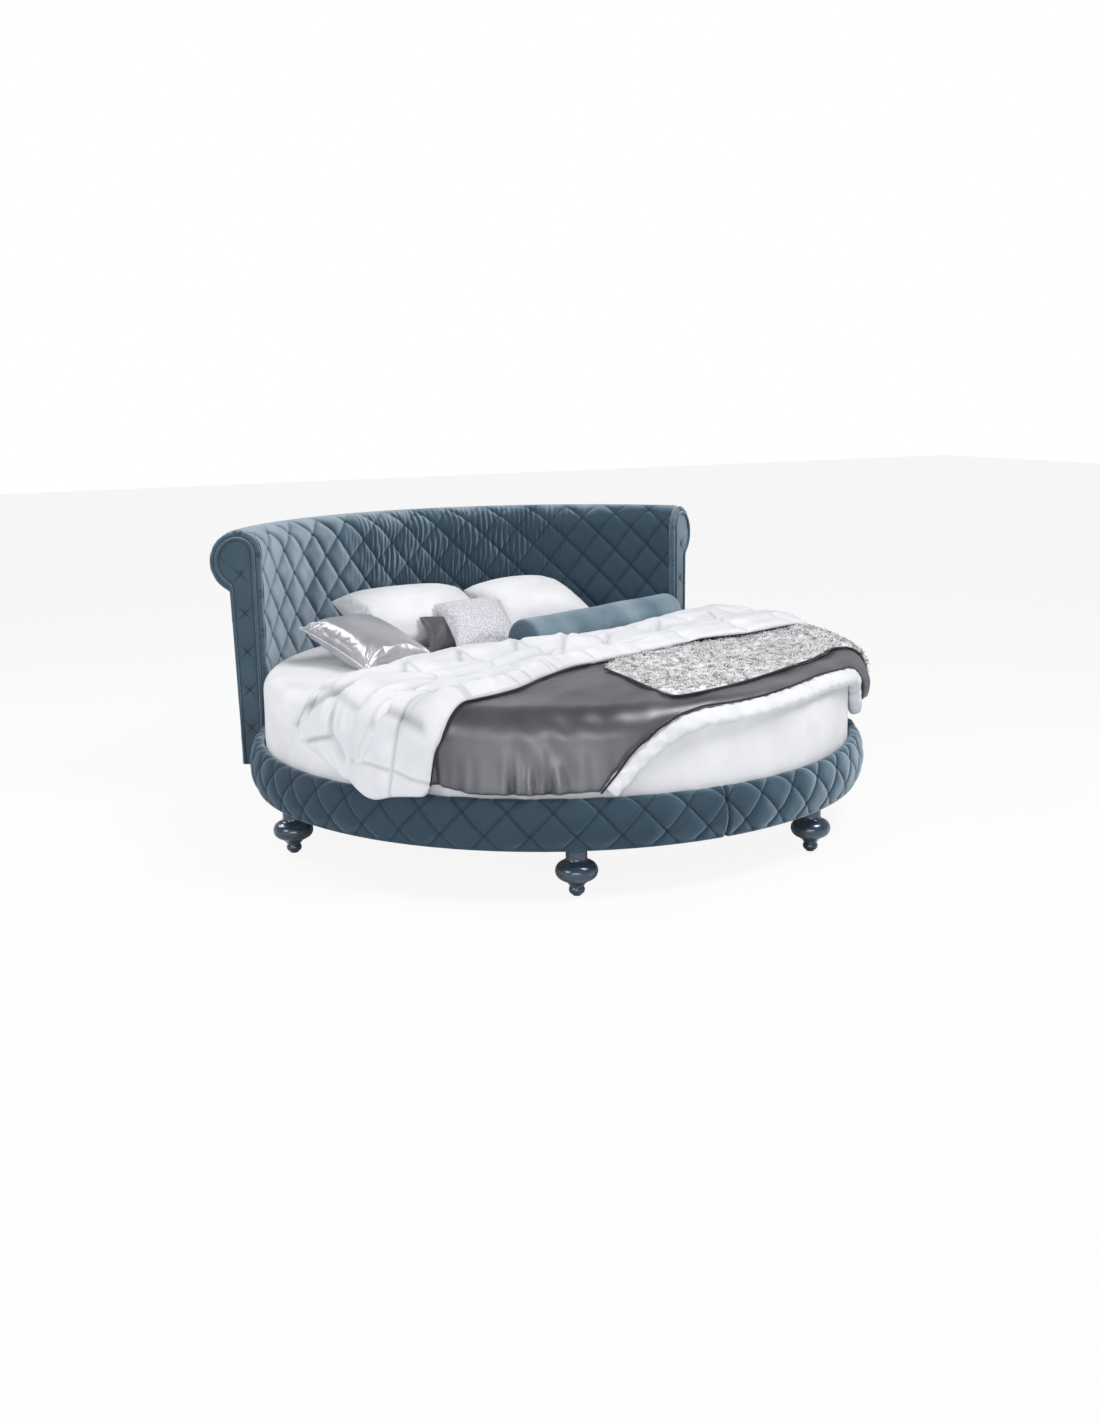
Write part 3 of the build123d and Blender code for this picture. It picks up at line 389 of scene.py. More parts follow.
for name, angle in (("foot_front_right", 25.6), ("foot_side_right", 88.0), ("foot_back_right", 150.0),
                    ("foot_back_left", -150.0), ("foot_side_left", -88.0), ("foot_front_left", -25.6)):
    a = math.radians(angle)
    points, faces = lathe(foot_profile, (foot_circle * math.sin(a), -foot_circle * math.cos(a)), 72)
    new_piece(name + "_turned", points, faces, lacquer, "bed_frame", [name])


# Ring cover: slate blue velvet over foam, stitched in diamonds in two staggered rows and pulled
# over each rail. The two halves meet in a puckered seam at the foot.
velvet_nap, end, (brushed, pile) = noise_group(
    "velvet_nap", {"Scale": 9.0, "Pile": 700.0},
    {"Brushed": ("Scale", (1, 1, 0.7), 5.0), "Pile": ("Pile", (1, 1, 1), 1.0)}, "Height")
velvet_nap.links.new(arithmetic(velvet_nap, "MULTIPLY_ADD", brushed, 0.35, pile), end.inputs["Height"])


def paint_marked_shade(tree, bsdf, colour, crease):
    """Painted shade: colour that turns darker where the mesh is marked, in stitching, seams, creases and
    folds.
    """
    stitch = tree.nodes.new("ShaderNodeAttribute")
    stitch.attribute_name = "stitch"
    blend = tree.nodes.new("ShaderNodeMix")
    blend.data_type = "RGBA"
    blend.inputs[7].default_value = plain(*crease)
    wire(tree, (stitch.outputs["Fac"], blend.inputs[0]), (colour, blend.inputs[6]),
         (blend.outputs[2], bsdf.inputs["Base Color"]))


def velvet(name, stops, crease, gain=1.0, lean=(0.42, 0, -0.10), edge=0.5):
    """Velvet brushed in patches, with painted sheen: dark facing the eye, pale where its pile is seen side
    on.

    Painted light too: cloth that faces the way of the lean vector is painted paler, cloth facing away
    darker.
    """
    material, tree, bsdf = finish_of(name)
    nap = place_group(tree, velvet_nap, Scale=7.0)
    # Painted sheen: paler where the cloth is seen side on.
    painted_sheen = node_of(tree, "ShaderNodeLayerWeight", Blend=edge)
    patches = arithmetic(tree, "MULTIPLY_ADD", nap.outputs["Brushed"], 0.75 * gain, -0.375 * gain)
    seen = arithmetic(tree, "ADD", painted_sheen.outputs["Facing"], patches)
    # Painted light and shade: cloth facing the lean vector is painted paler, as if lit from that side.
    surface = tree.nodes.new("ShaderNodeNewGeometry")
    painted_light_by_facing = arithmetic(tree, "DOT_PRODUCT", surface.outputs["Normal"], lean, kind="ShaderNodeVectorMath")
    seen = arithmetic(tree, "ADD", seen, painted_light_by_facing.node.outputs["Value"])
    paint_marked_shade(tree, bsdf, ramp(tree, seen, colours(*stops)), crease)
    uneven(tree, bsdf, nap.outputs["Brushed"], 0.66, 0.82)
    settle(bsdf, Sheen_Weight=0.22, Sheen_Roughness=0.35, Sheen_Tint=plain(190, 208, 220),
           Specular_IOR_Level=0.2)
    bump(tree, bsdf, nap.outputs["Height"], 0.0007, 0.5)
    return material


# The ring's velvet: painted sheen, painted light from the right, slightly darker on top, painted shade in
# grooves.
slate_velvet = velvet("slate_velvet", [(0.0, 52, 70, 83), (0.30, 70, 89, 103), (0.60, 103, 121, 134),
                                       (0.95, 152, 167, 177)], (34, 49, 60), edge=0.36)


def clamp(x):
    """A value held between nought and one."""
    return np.clip(x, 0, 1)


def bell(x, width):
    """One at nought, fading to nought over a width."""
    return np.exp(-(x / width) ** 2)


def hollows(across, along, width, height):
    """Distances to the two families of stitching lines of a diamond pattern, and to its crossings."""
    p, q = across / width, along / height
    slope = math.hypot(1 / width, 1 / height)
    one, two = p + q, p - q
    a = np.abs(one - np.round(one)) / slope
    b = np.abs(two - np.round(two)) / slope
    return a, b, np.hypot(a, b)


def quilted(across, along, width, height, puff, groove):
    """How far quilted cloth lies under its highest level, and how much of it is stitching."""
    a, b, knot = hollows(across, along, width, height)
    reach = 0.3 * width
    swell = (1 - (1 - clamp(a / reach)) ** 2.4) * (1 - (1 - clamp(b / reach)) ** 2.4)
    near = np.minimum(a, b)
    run = np.where(a < b, across - along, across + along)
    pucker = 0.0007 * np.sin(run / 0.0021 + 3 * np.sin(across * 31) + 2 * np.sin(along * 47))
    depth = puff * (1 - swell) + groove * bell(near, 0.0042) + 0.0022 * bell(knot, 0.008)
    depth = depth + pucker * np.exp(-near / 0.011)
    stitch = clamp(0.7 * bell(near, 0.0036) + 0.5 * bell(knot, 0.007))
    return depth, stitch


def measured(points):
    """Running length along a line of points."""
    return np.concatenate([[0], np.cumsum(np.hypot(*np.diff(np.array(points), axis=0).T))])


def line_at(at, run, points):
    """Points of a line at given running lengths."""
    x, y = np.array(points, float).T
    return np.stack([np.interp(at, run, x), np.interp(at, run, y)], -1)


def even_line(points, step):
    """The same line in nearly equal steps."""
    run = measured(points)
    count = max(int(round(run[-1] / step)), 1)
    return line_at(np.linspace(0, run[-1], count + 1), run, points)


def ring_points(angles, radii, heights):
    """Points of (angle, radius, height) tables in the bed's frame."""
    a = np.radians(angles)
    return np.stack([radii * np.sin(a), -radii * np.cos(a), heights], -1)


def slopes(outline):
    """The direction of an outline at each of its points."""
    slope = np.gradient(outline, axis=0)
    return slope / np.hypot(slope[:, 0], slope[:, 1])[:, None]


def closed_rows(outline, slope, depth, marks, back):
    """An outline sunk by a depth at each angle and closed by its plain back: radii, heights and marks."""
    back = np.array(back)[None] + np.zeros((len(depth), 1, 1))
    radii = np.concatenate([outline[None, :, 0] - depth * slope[None, :, 1], back[..., 0]], 1)
    heights = np.concatenate([outline[None, :, 1] + depth * slope[None, :, 0], back[..., 1]], 1)
    return radii, heights, np.concatenate([marks, np.zeros(back.shape[:2])], 1)


def mark_painted_shade(piece, marks):
    """Note on each point how much painted shade it takes, at stitching, creases and other marked places."""
    mark = piece.data.attributes.new("stitch", "FLOAT", "POINT")
    mark.data.foreach_set("value", np.asarray(marks, np.float32).reshape(-1))


def tube_quads(rows, count):
    """The four-sided faces of rows of points that each run round in a ring."""
    k = np.arange(rows - 1)[:, None] * count
    n = np.arange(count)[None, :]
    m = (n + 1) % count
    return np.stack([k + n, k + count + n, k + count + m, k + m], -1).reshape(-1, 4).tolist()


def outward(piece, doubles=0.0):
    """Turn a closed piece's faces outwards, once its doubles are merged."""
    mesh = bmesh.new()
    mesh.from_mesh(piece.data)
    if doubles:
        bmesh.ops.remove_doubles(mesh, verts=mesh.verts, dist=doubles)
    bmesh.ops.recalc_face_normals(mesh, faces=mesh.faces)
    mesh.to_mesh(piece.data)
    mesh.free()
    return piece


def swept_pad(name, angles, rows, material, replaced):
    """A padded cover swept round the bed: one closed outline at each angle, with a cap at each end."""
    radii, heights, marks = rows
    count = radii.shape[1]
    faces = tube_quads(len(radii), count)
    faces.append(list(range(count)))
    faces.append(list(range((len(radii) - 1) * count, len(radii) * count))[::-1])
    points = ring_points(angles[:, None], radii, heights).reshape(-1, 3)
    piece = new_piece(name, points, faces, material, "bed_frame", [replaced])
    mark_painted_shade(piece, marks)
    outward(piece)


diamond_width = 0.1485
diamond_height = 0.168
puff = 0.0075
rail_face = 1.130
quilt_radius = 1.158
last = 123.7
belly = arc((1.141, 0.161), (1.165, 0.243), (1.1417, 0.324), 40)
crown = arc((1.1417, 0.324), (1.1265, 0.3305), (1.1077, 0.3245), 12)
outside = even_line(belly + crown[1:], 0.0045)
inside = [(1.1077, 0.3183), (rail_face, 0.3183), (rail_face, 0.1657), (1.1097, 0.1657), (1.1097, 0.161)]
run = measured(outside)
lower_row = float(np.interp(0.210, outside[:40, 1], run[:40]))
angles = np.concatenate([[0.03, 0.12, 0.28, 0.5], np.linspace(0.75, last - 0.7, 505), [last - 0.3, last]])
across, along = np.meshgrid(np.radians(angles) * quilt_radius, run - lower_row, indexing="ij")
depth, stitch = quilted(across, along + diamond_height / 2, diamond_width, diamond_height, puff, 0.004)
edge = clamp(run / 0.012) * clamp((run[-1] - run) / 0.030)
seam = bell(across, 0.006)
pulls = 0.0012 * np.sin(along / 0.0026 + 2 * np.sin(along * 60)) * np.exp(-across / 0.016)
hem = bell(np.radians(last) * quilt_radius - across, 0.006)
depth = np.maximum(depth * edge + puff * seam + pulls * edge + 0.006 * hem, 0)
# Painted shade in the stitch grooves and along the puckered seam at the foot.
stitch = clamp(stitch * edge + 0.8 * seam)
rows = closed_rows(outside, slopes(outside), depth, stitch, inside)
for side, label in ((1, "right"), (-1, "left")):
    swept_pad("ring_cover_" + label, side * angles, rows, slate_velvet, "ring_pad_" + label)


# Headboard cover: the same velvet in larger diamonds up the hollow inner face, gathered in fine
# upright folds near the middle, and drawn plain over the rolled top edge.
lip, lip_radius = (1.220, 0.986), 0.090
scroll, scroll_radius, scroll_back = (1.212, 0.952), 0.125, 1.266
joint = math.degrees(math.atan2(lip[1] - scroll[1], lip[0] - scroll[0]))
head_low = 0.155
first, final = 124.4 + 0.93, 235.6 - 0.93


def turned_on(centre, radius, *angles):
    """Points on a circle of the headboard's section."""
    return [(centre[0] + radius * math.cos(math.radians(a)), centre[1] + radius * math.sin(math.radians(a)))
            for a in angles]


def head_outline(inset, back_inset, from_height, steps):
    """The headboard's inner face, lip and scroll, from a height up and over."""
    under = -math.degrees(math.acos((scroll_back - back_inset - scroll[0]) / (scroll_radius - inset)))
    face = [(rail_face + inset, from_height), (rail_face + inset, lip[1])]
    roll = arc(face[-1], *turned_on(lip, lip_radius - inset, (180 + joint) / 2, joint), steps)
    over = arc(*turned_on(scroll, scroll_radius - inset, joint, (joint + under) / 2, under), 40)
    return face + roll[1:] + over[1:]


# A lit copy of the same velvet for the headboard: paler tones, painted light from the right and from above.
headboard_velvet = velvet("headboard_velvet", [(0.0, 50, 68, 81), (0.30, 74, 94, 108),
                                               (0.60, 118, 135, 148), (0.95, 164, 178, 187)],
                          (34, 49, 60), 1.3, (0.54, 0, 0.16))
low = even_line([(rail_face, head_low), (rail_face, 0.545)], 0.013)
upper = [(rail_face, 0.545)] + head_outline(0, 0, head_low, 30)[1:]
upper_run = measured(upper)
fine = np.concatenate([np.arange(0, 0.60, 0.0068), np.arange(0.60, upper_run[-1], 0.014), [upper_run[-1]]])
outside = np.concatenate([low[:-1], line_at(fine, upper_run, upper)])
run = measured(outside)
angles = np.linspace(first, final, 432)
around, level = np.meshgrid(angles, head_low + run, indexing="ij")
across = np.radians(around - 186.0) * rail_face
rise = 0.0034 * (np.sqrt((around - 180) ** 2 + 16) - 4)
depth, stitch = quilted(across, level - rise - 0.838, 2 * math.radians(3.68) * rail_face, diamond_height,
                        puff, 0.0035)
plain_roll = clamp((1.115 - level) / 0.05)
middle = np.exp(-((around - 172) / 24) ** 4) * clamp((level - 0.66) / 0.16)
middle = middle * clamp((1.13 - level) / 0.06)
circle = 6.283
rng = np.random.default_rng(7)
folds = np.zeros_like(across)
for _ in range(26):
    wave = rng.uniform(0.013, 0.03)
    lean = rng.uniform(-0.10, 0.16)
    middle_at = rng.uniform(0.70, 1.08)
    phase = rng.uniform(0, 6.28)
    reach = rng.uniform(0.05, 0.13)
    drift = 0.35 * np.sin(across * rng.uniform(5, 14) + level * rng.uniform(6, 16) + phase)
    folds += bell(level - middle_at, reach) * np.sin(
        circle * (across + lean * (level - middle_at)) / wave + phase + 3 * drift)
folds = np.abs(folds) ** 0.8 * np.sign(folds)
depth = depth * plain_roll + 0.0015 * middle * (folds + 1.2) * (0.35 + 0.65 * clamp(1 - stitch))
ends = bell(np.radians(around - first) * rail_face, 0.008)
ends = ends + bell(np.radians(final - around) * rail_face, 0.008)
depth = np.maximum(depth + 0.003 * ends, -0.002)
# Painted shade in the stitch grooves and in the valleys of the gathered folds.
crease = clamp(stitch * plain_roll + 0.42 * middle * clamp(folds / 2.5))
back = even_line(head_outline(0.015, 0.015, head_low, 30)[::-1], 0.05)
swept_pad("headboard_cover", angles, closed_rows(outside, slopes(outside), -depth, crease, back),
          headboard_velvet, "headboard_front_pad")

# Headboard back: plain velvet over thin wadding, in five panels joined by upright seams. Its edges
# are turned in and tacked.
back_radius, back_top = 1.250, (1.2657, 0.8395)
angles = np.linspace(first, final, 260)
back_line = even_line([(back_radius, head_low), back_top], 0.016)
run = measured(back_line)
around = angles[:, None] + np.zeros(len(run))[None, :]
panel = (final - first) / 5
off_seam = np.abs((around - first + panel / 2) % panel - panel / 2) * math.radians(1) * back_radius
off_seam = np.where((around - first < panel / 2) | (final - around < panel / 2), 1, off_seam)
seam = bell(off_seam, 0.005)
edge = bell(run, 0.006) + bell(run[-1] - run, 0.006)
wave = np.sin(np.radians(around) * back_radius / 0.045 + 2 * np.sin(run / 0.11))
wave = wave * np.sin(run / 0.09 + around / 3)
depth = 0.0009 * (1 + wave) + 0.0035 * seam + 0.003 * edge
tacked = [(1.2597, back_top[1]), (1.244, head_low)]
# Painted shade along the upright seams.
rows = closed_rows(back_line, np.array([[0, 1]]), depth, seam * 0.8, tacked)
swept_pad("headboard_back_velvet", angles, rows, slate_velvet, "headboard_back_cover")


# Headboard ends: padded panels stitched in crosses down the middle, puffed between the stitches.
# Each starts as its solid, is remeshed and blown up a little by cloth pressure, then stitched.
def inflated(name, start, voxel, pressure, cap, frames):
    """A mesh remeshed and swollen by cloth pressure, no point moving further than the cap."""
    piece = bpy.data.objects.new(name, start)
    scene.collection.objects.link(piece)
    bpy.context.view_layer.objects.active = piece
    merge = bmesh.new()
    merge.from_mesh(piece.data)
    bmesh.ops.remove_doubles(merge, verts=merge.verts, dist=0.00002)
    merge.to_mesh(piece.data)
    merge.free()
    remesh = piece.modifiers.new("remesh", "REMESH")
    remesh.mode = "VOXEL"
    remesh.voxel_size = voxel
    mesh = bpy.data.meshes.new_from_object(piece.evaluated_get(bpy.context.evaluated_depsgraph_get()))
    piece.modifiers.clear()
    piece.data = mesh
    rest = np.empty(len(mesh.vertices) * 3)
    mesh.vertices.foreach_get("co", rest)
    cloth = piece.modifiers.new("cloth", "CLOTH")
    cloth.settings.use_pressure = True
    cloth.settings.uniform_pressure_force = pressure
    cloth.settings.effector_weights.gravity = 0
    cloth.settings.mass = 0.3
    cloth.point_cache.frame_start = 1
    cloth.point_cache.frame_end = frames
    for step in range(1, frames + 1):
        scene.frame_set(step)
    moved = np.empty(len(rest))
    result = piece.evaluated_get(bpy.context.evaluated_depsgraph_get()).to_mesh()
    result.vertices.foreach_get("co", moved)
    piece.modifiers.clear()
    scene.frame_set(1)
    shift = (moved - rest).reshape(-1, 3)
    length = np.linalg.norm(shift, axis=1)
    shift *= (np.minimum(length, cap) / np.maximum(length, 1e-9))[:, None]
    return piece, rest.reshape(-1, 3) + shift


def upholster(piece, points, material, body, replaced):
    """Give a swollen piece its final points, its cloth, its body and the node it stands for."""
    piece.data.vertices.foreach_set("co", np.asarray(points, float).reshape(-1))
    piece.data.polygons.foreach_set("use_smooth", [True] * len(piece.data.polygons))
    piece.data.update()
    piece.data.materials.clear()
    piece.data.materials.append(material)
    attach(piece, body)
    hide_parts(replaced)


# A lit copy of the same velvet for the ends: paler tones, and painted light from above only.
end_velvet = velvet("end_velvet", [(0.0, 66, 84, 97), (0.30, 84, 103, 116), (0.60, 118, 135, 147),
                                   (0.95, 170, 183, 191)], (38, 53, 64), 1.0, (0, 0, 0.25))


def outline_depth(r, z):
    """How far a point of the headboard's end lies inside its outline."""
    back = back_radius + 0.016 * (z - head_low) / 0.6845
    face = r - rail_face
    roll = scroll_radius - np.hypot(r - scroll[0], z - scroll[1])
    body = np.where(z < scroll[1], np.minimum(face, back - r), -1)
    inner = np.where(z < scroll[1], face, np.minimum(face, roll))
    round_lip = lip_radius - np.hypot(r - lip[0], z - lip[1])
    head = np.where(r < lip[0], np.where(z < lip[1], inner, round_lip), roll)
    return np.where(z < 0.84, body, np.maximum(head, body))


def geometry_tree(name, inputs, output):
    """An empty Geometry Nodes tree with its named inputs and output, and its two end nodes."""
    tree = bpy.data.node_groups.new(name, "GeometryNodeTree")
    for socket, kind in inputs.items():
        tree.interface.new_socket(socket, in_out="INPUT", socket_type="NodeSocket" + kind)
    tree.interface.new_socket(output, in_out="OUTPUT", socket_type="NodeSocketGeometry")
    return tree, tree.nodes.new("NodeGroupInput").outputs, tree.nodes.new("NodeGroupOutput").inputs[0]


def closing(tree, shape, cloth, end):
    """End a tree in real geometry with its material."""
    real = tree.nodes.new("GeometryNodeRealizeInstances")
    paint = tree.nodes.new("GeometryNodeSetMaterial")
    wire(tree, (shape, real.inputs[0]), (real.outputs[0], paint.inputs[0]),
         (cloth, paint.inputs["Material"]), (paint.outputs[0], end))


piping_tree, start, end = geometry_tree(
    "piping", {"Line": "Geometry", "Radius": "Float", "Sides": "Int", "Cloth": "Material"}, "Piping")
curve = piping_tree.nodes.new("GeometryNodeMeshToCurve")
ring = piping_tree.nodes.new("GeometryNodeCurvePrimitiveCircle")
tube = node_of(piping_tree, "GeometryNodeCurveToMesh", Fill_Caps=True)
smooth = piping_tree.nodes.new("GeometryNodeSetShadeSmooth")
wire(piping_tree, (start["Line"], curve.inputs[0]), (start["Radius"], ring.inputs["Radius"]),
     (start["Sides"], ring.inputs["Resolution"]), (curve.outputs[0], tube.inputs["Curve"]),
     (ring.outputs[0], tube.inputs["Profile Curve"]), (tube.outputs[0], smooth.inputs[0]))
closing(piping_tree, smooth.outputs[0], start["Cloth"], end)


def from_tree(name, mesh, tree, values, body, replaces=()):
    """Run a Geometry Nodes tree on a mesh and keep the result as a plain mesh piece."""
    holder = bpy.data.objects.new(name, mesh)
    scene.collection.objects.link(holder)
    modifier = holder.modifiers.new("made", "NODES")
    modifier.node_group = tree
    for socket in tree.interface.items_tree:
        if socket.in_out == "INPUT" and socket.name in values:
            modifier[socket.identifier] = values[socket.name]
    bpy.context.view_layer.update()
    made = bpy.data.meshes.new_from_object(holder.evaluated_get(bpy.context.evaluated_depsgraph_get()))
    holder.modifiers.clear()
    holder.data = made
    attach(holder, body)
    if replaces:
        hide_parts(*replaces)
    outward(holder)


def piped(name, points, radius, sides, cloth, body, replaces=()):
    """A piping along a line of points."""
    line = mesh_of(name, points, edges=[(k, k + 1) for k in range(len(points) - 1)])
    values = {"Radius": radius, "Sides": sides, "Cloth": cloth}
    from_tree(name, line, piping_tree, values, body, replaces)


piping_inset, piping_back_inset, piping_low, welt_radius = 0.030, 0.014, 0.1615, 0.0058
welt = head_outline(piping_inset, piping_back_inset, piping_low, 24)
welt.append((back_radius - piping_back_inset, piping_low))
welt = even_line(welt, 0.006)
for _ in range(6):
    welt[1:-1] = (welt[:-2] + 2 * welt[1:-1] + welt[2:]) / 4
for label, angle, turn in (("right", 124.4, 1), ("left", 235.6, -1)):
    a = math.radians(angle)
    outwards = np.array([-math.cos(a), -math.sin(a), 0]) * turn
    radial = np.array([math.sin(a), -math.cos(a), 0])
    piece, points = inflated("end_cover_" + label, nodes["end_panel_" + label].data.copy(), 0.0055, 3.0,
                             0.004, 12)
    r, z, proud = points @ radial, points[:, 2], points @ outwards
    near = np.full(len(points), 1e9)
    for chunk in np.array_split(welt, 20):
        gap = np.hypot(r[:, None] - chunk[None, :, 0], z[:, None] - chunk[None, :, 1])
        near = np.minimum(near, gap.min(1))
    inside = outline_depth(r, z)
    wide = np.interp(z, [head_low, 0.84, 0.90, 0.95, 1.02], [0.078, 0.090, 0.11, 0.13, 0.11])
    a, b, knot = hollows(r - (rail_face + piping_inset + 0.5 * wide), z - 0.305, 0.150, 0.150)
    line = np.minimum(a, b)
    fade = bell(knot, 0.032)
    within = clamp((near - 0.010) / 0.006)
    face = clamp((proud + 0.004) / 0.004)
    depth = 0.003 * bell(line, 0.005) * fade * within + 0.004 * bell(knot, 0.012)
    depth += 0.0035 * bell(near, 0.008) + 0.005 * (1 - clamp(inside / 0.014)) ** 2
    # Painted shade in the stitched crosses and in the groove beside the piping.
    groove_painted_shade = bell(line, 0.0036) * fade * within + 0.6 * bell(near - 0.007, 0.003)
    mark_painted_shade(piece, clamp(groove_painted_shade) * face)
    upholster(piece, points - outwards[None, :] * (np.maximum(depth, 0) * face)[:, None], end_velvet,
              "bed_frame", "end_panel_" + label)
    path = radial[None, :] * welt[:, :1] + np.array([[0, 0, 1]]) * welt[:, 1:] + outwards[None, :] * 0.0052
    piped("end_welt_" + label, path, welt_radius, 12, end_velvet, "bed_frame",
          ["end_piping_" + label])


# Mattress: a round spring mattress in knitted ticking, its side quilted and taped top and bottom.
# It lies loose on the slats, inside the ring.
cotton_weave = noise_group("cotton_weave", {"Threads": 900.0},
                           {"Thread": ("Threads", (1, 1, 1), 1.0), "Cloud": (7.0, (1, 1, 1), 4.0)})[0]


def woven(name, dark, light, rough, threads, depth, sheen=0.15, crease=None):
    """Woven cloth: fine threads, a slight unevenness of tone, a soft edge sheen, painted shade in marked
    creases.
    """
    material, tree, bsdf = finish_of(name)
    weave = place_group(tree, cotton_weave, Threads=threads)
    tones = ramp(tree, weave.outputs["Cloud"], colours((0.3, *dark), (0.7, *light)))
    paint_marked_shade(tree, bsdf, tones, crease or dark)
    uneven(tree, bsdf, weave.outputs["Cloud"], rough - 0.05, rough + 0.07)
    settle(bsdf, Sheen_Weight=sheen, Specular_IOR_Level=0.3)
    bump(tree, bsdf, weave.outputs["Thread"], depth, 0.6)
    return material


ticking = woven("mattress_ticking", (214, 211, 203), (228, 226, 219), 0.85, 500.0, 0.0006)
side_radius = 1.0980
profile = [(0, 0.2915), (1.050, 0.2915)]
profile += arc((1.0585, 0.2915), (1.0866, 0.3033), (side_radius, 0.3310), 10)
profile += [(side_radius, 0.344), (1.0958, 0.348), (1.0935, 0.352), (side_radius, 0.362)]
profile += [(side_radius + 0.0004 * math.sin(k * 0.7), 0.362 + 0.0115 * k) for k in range(1, 12)]
profile += [(1.0960, 0.496), (1.0935, 0.500), (1.0975, 0.505)]
profile += arc((side_radius, 0.5146), (1.0809, 0.5558), (1.0396, 0.5729), 12)
profile += [(0, 0.5729)]
points, faces = lathe(profile, (0, 0), 240)
mattress = new_piece("round_mattress", points, faces, ticking, "mattress", ["mattress"])

# Fitted sheet: white percale drawn over the mattress, with faint pulls towards the elastic hem
# that holds it under the rim.
percale = woven("white_percale", (226, 226, 229), (238, 238, 240), 0.8, 1400.0, 0.0003)
flat_radius, rim_radius, rim_height = 1.040, 0.060, 0.515
sheet_top = 0.5754


def over_mattress(x, y, lift):
    """Bend points of a flat cloth over the mattress's top, rim and side, at a height off the sheet."""
    far = np.maximum(np.hypot(x, y), 1e-9)
    turn = np.clip((far - flat_radius) / rim_radius, 0, math.pi / 2)
    drop = np.maximum(far - flat_radius - rim_radius * math.pi / 2, 0)
    r = np.where(far < flat_radius, far, flat_radius + (rim_radius + lift) * np.sin(turn))
    z = rim_height + (rim_radius + lift) * np.cos(turn) - drop
    return np.stack([x / far * r, y / far * r, z], -1)


segments = 480
lengths = np.concatenate([np.linspace(*part) for part in
                          ((0.02, 0.98, 34), (1.0, 1.16, 20), (1.175, 1.3475, 22))])
turn = np.radians(np.arange(segments) * 360 / segments)
far, around = np.meshgrid(lengths, turn, indexing="ij")
side = clamp((far - 1.09) / 0.10)
low = clamp((far - 1.20) / 0.14)
pulls = (np.sin(around * 41 + 1.2 * np.sin(around * 7))
         + 0.6 * np.sin(around * 67 + 2 * np.sin(around * 5 + 1)))
lift = 0.0006 + side * 0.0011 * (1 + np.sin(around * 13 + 3 * far)) + low * 0.0011 * (pulls + 1.6)
ridge = bell(far - 0.86 - 0.05 * np.sin(around * 3), 0.05)
lift += 0.0012 * ridge * (1 + np.sin(around * 9 + far * 14))
points = over_mattress(far * np.sin(around), -far * np.cos(around), lift - 0.0002).reshape(-1, 3).tolist()
points.append([0, 0, sheet_top])
faces = [(r * segments + k, (r + 1) * segments + k, (r + 1) * segments + (k + 1) % segments,
          r * segments + (k + 1) % segments) for r in range(len(lengths) - 1) for k in range(segments)]
faces += [(len(points) - 1, k, (k + 1) % segments) for k in range(segments)]
sheet = new_piece("sheet_cloth", points, faces, percale, "mattress", ["fitted_sheet"])
wall = sheet.modifiers.new("wall", "SOLIDIFY")
wall.thickness = 0.0007
wall.offset = -1


# Duvet: a satin face, a quilted white reverse and a padded white border with a black piping.
# It hangs over the rim at the foot, and its head edge is folded back over it.
def smooth_line(points, count):
    """A smooth line through points of a plan, in equal steps."""
    p = np.array(points, float)
    p = np.concatenate([[2 * p[0] - p[1]], p, [2 * p[-1] - p[-2]]])
    line = []
    for a, b, c, d in zip(p, p[1:], p[2:], p[3:]):
        for t in np.linspace(0, 1, 24, endpoint=False):
            line.append(0.5 * (2 * b + (c - a) * t + (2 * a - 5 * b + 4 * c - d) * t**2
                               + (3 * b - a - 3 * c + d) * t**3))
    line = np.array(line + [p[-2]])
    run = measured(line)
    return line_at(np.linspace(0, run[-1], count), run, line)


def patch(far_side, near_side, left_side, right_side, across, along):
    """A grid of plan points between four sides; the far and near sides run left to right."""
    def eased(count):
        t = np.linspace(0, 1, count)
        return 0.72 * t + 0.28 * (0.5 - 0.5 * np.cos(math.pi * t))

    def at(side, t):
        return line_at(t, np.linspace(0, 1, 900), smooth_line(side, 900))
    u, v = eased(across)[:, None], eased(along)[None, :]
    top, foot, one, two = at(far_side, u), at(near_side, u), at(left_side, v), at(right_side, v)
    u, v = u[..., None], v[..., None]
    a, b, c, d = (np.array(side[k], float) for side in (far_side, near_side) for k in (0, -1))
    flat = (1 - v) * top + v * foot + (1 - u) * one + u * two
    return flat - ((1 - u) * (1 - v) * a + u * (1 - v) * b + (1 - u) * v * c + u * v * d)


def from_edge(grid):
    """How far each grid point lies from the grid's own border."""
    border = np.concatenate([grid[:, 0], grid[-1, 1:], grid[-2::-1, -1], grid[0, -2:0:-1]])
    flat = grid.reshape(-1, 2)
    best = np.full(len(flat), 1e9)
    for chunk in np.array_split(border, 60):
        gap = flat[:, None, :] - chunk[None, :, :]
        best = np.minimum(best, np.sqrt((gap**2).sum(-1)).min(1))
    return best.reshape(grid.shape[:2])


def grid_quads(index, flipped=False):
    """The four-sided faces of a grid of point numbers."""
    corners = [index[:-1, :-1], index[:-1, 1:], index[1:, 1:], index[1:, :-1]]
    if flipped:
        corners = [corners[0], corners[3], corners[2], corners[1]]
    return np.stack(corners, -1).reshape(-1, 4).tolist()


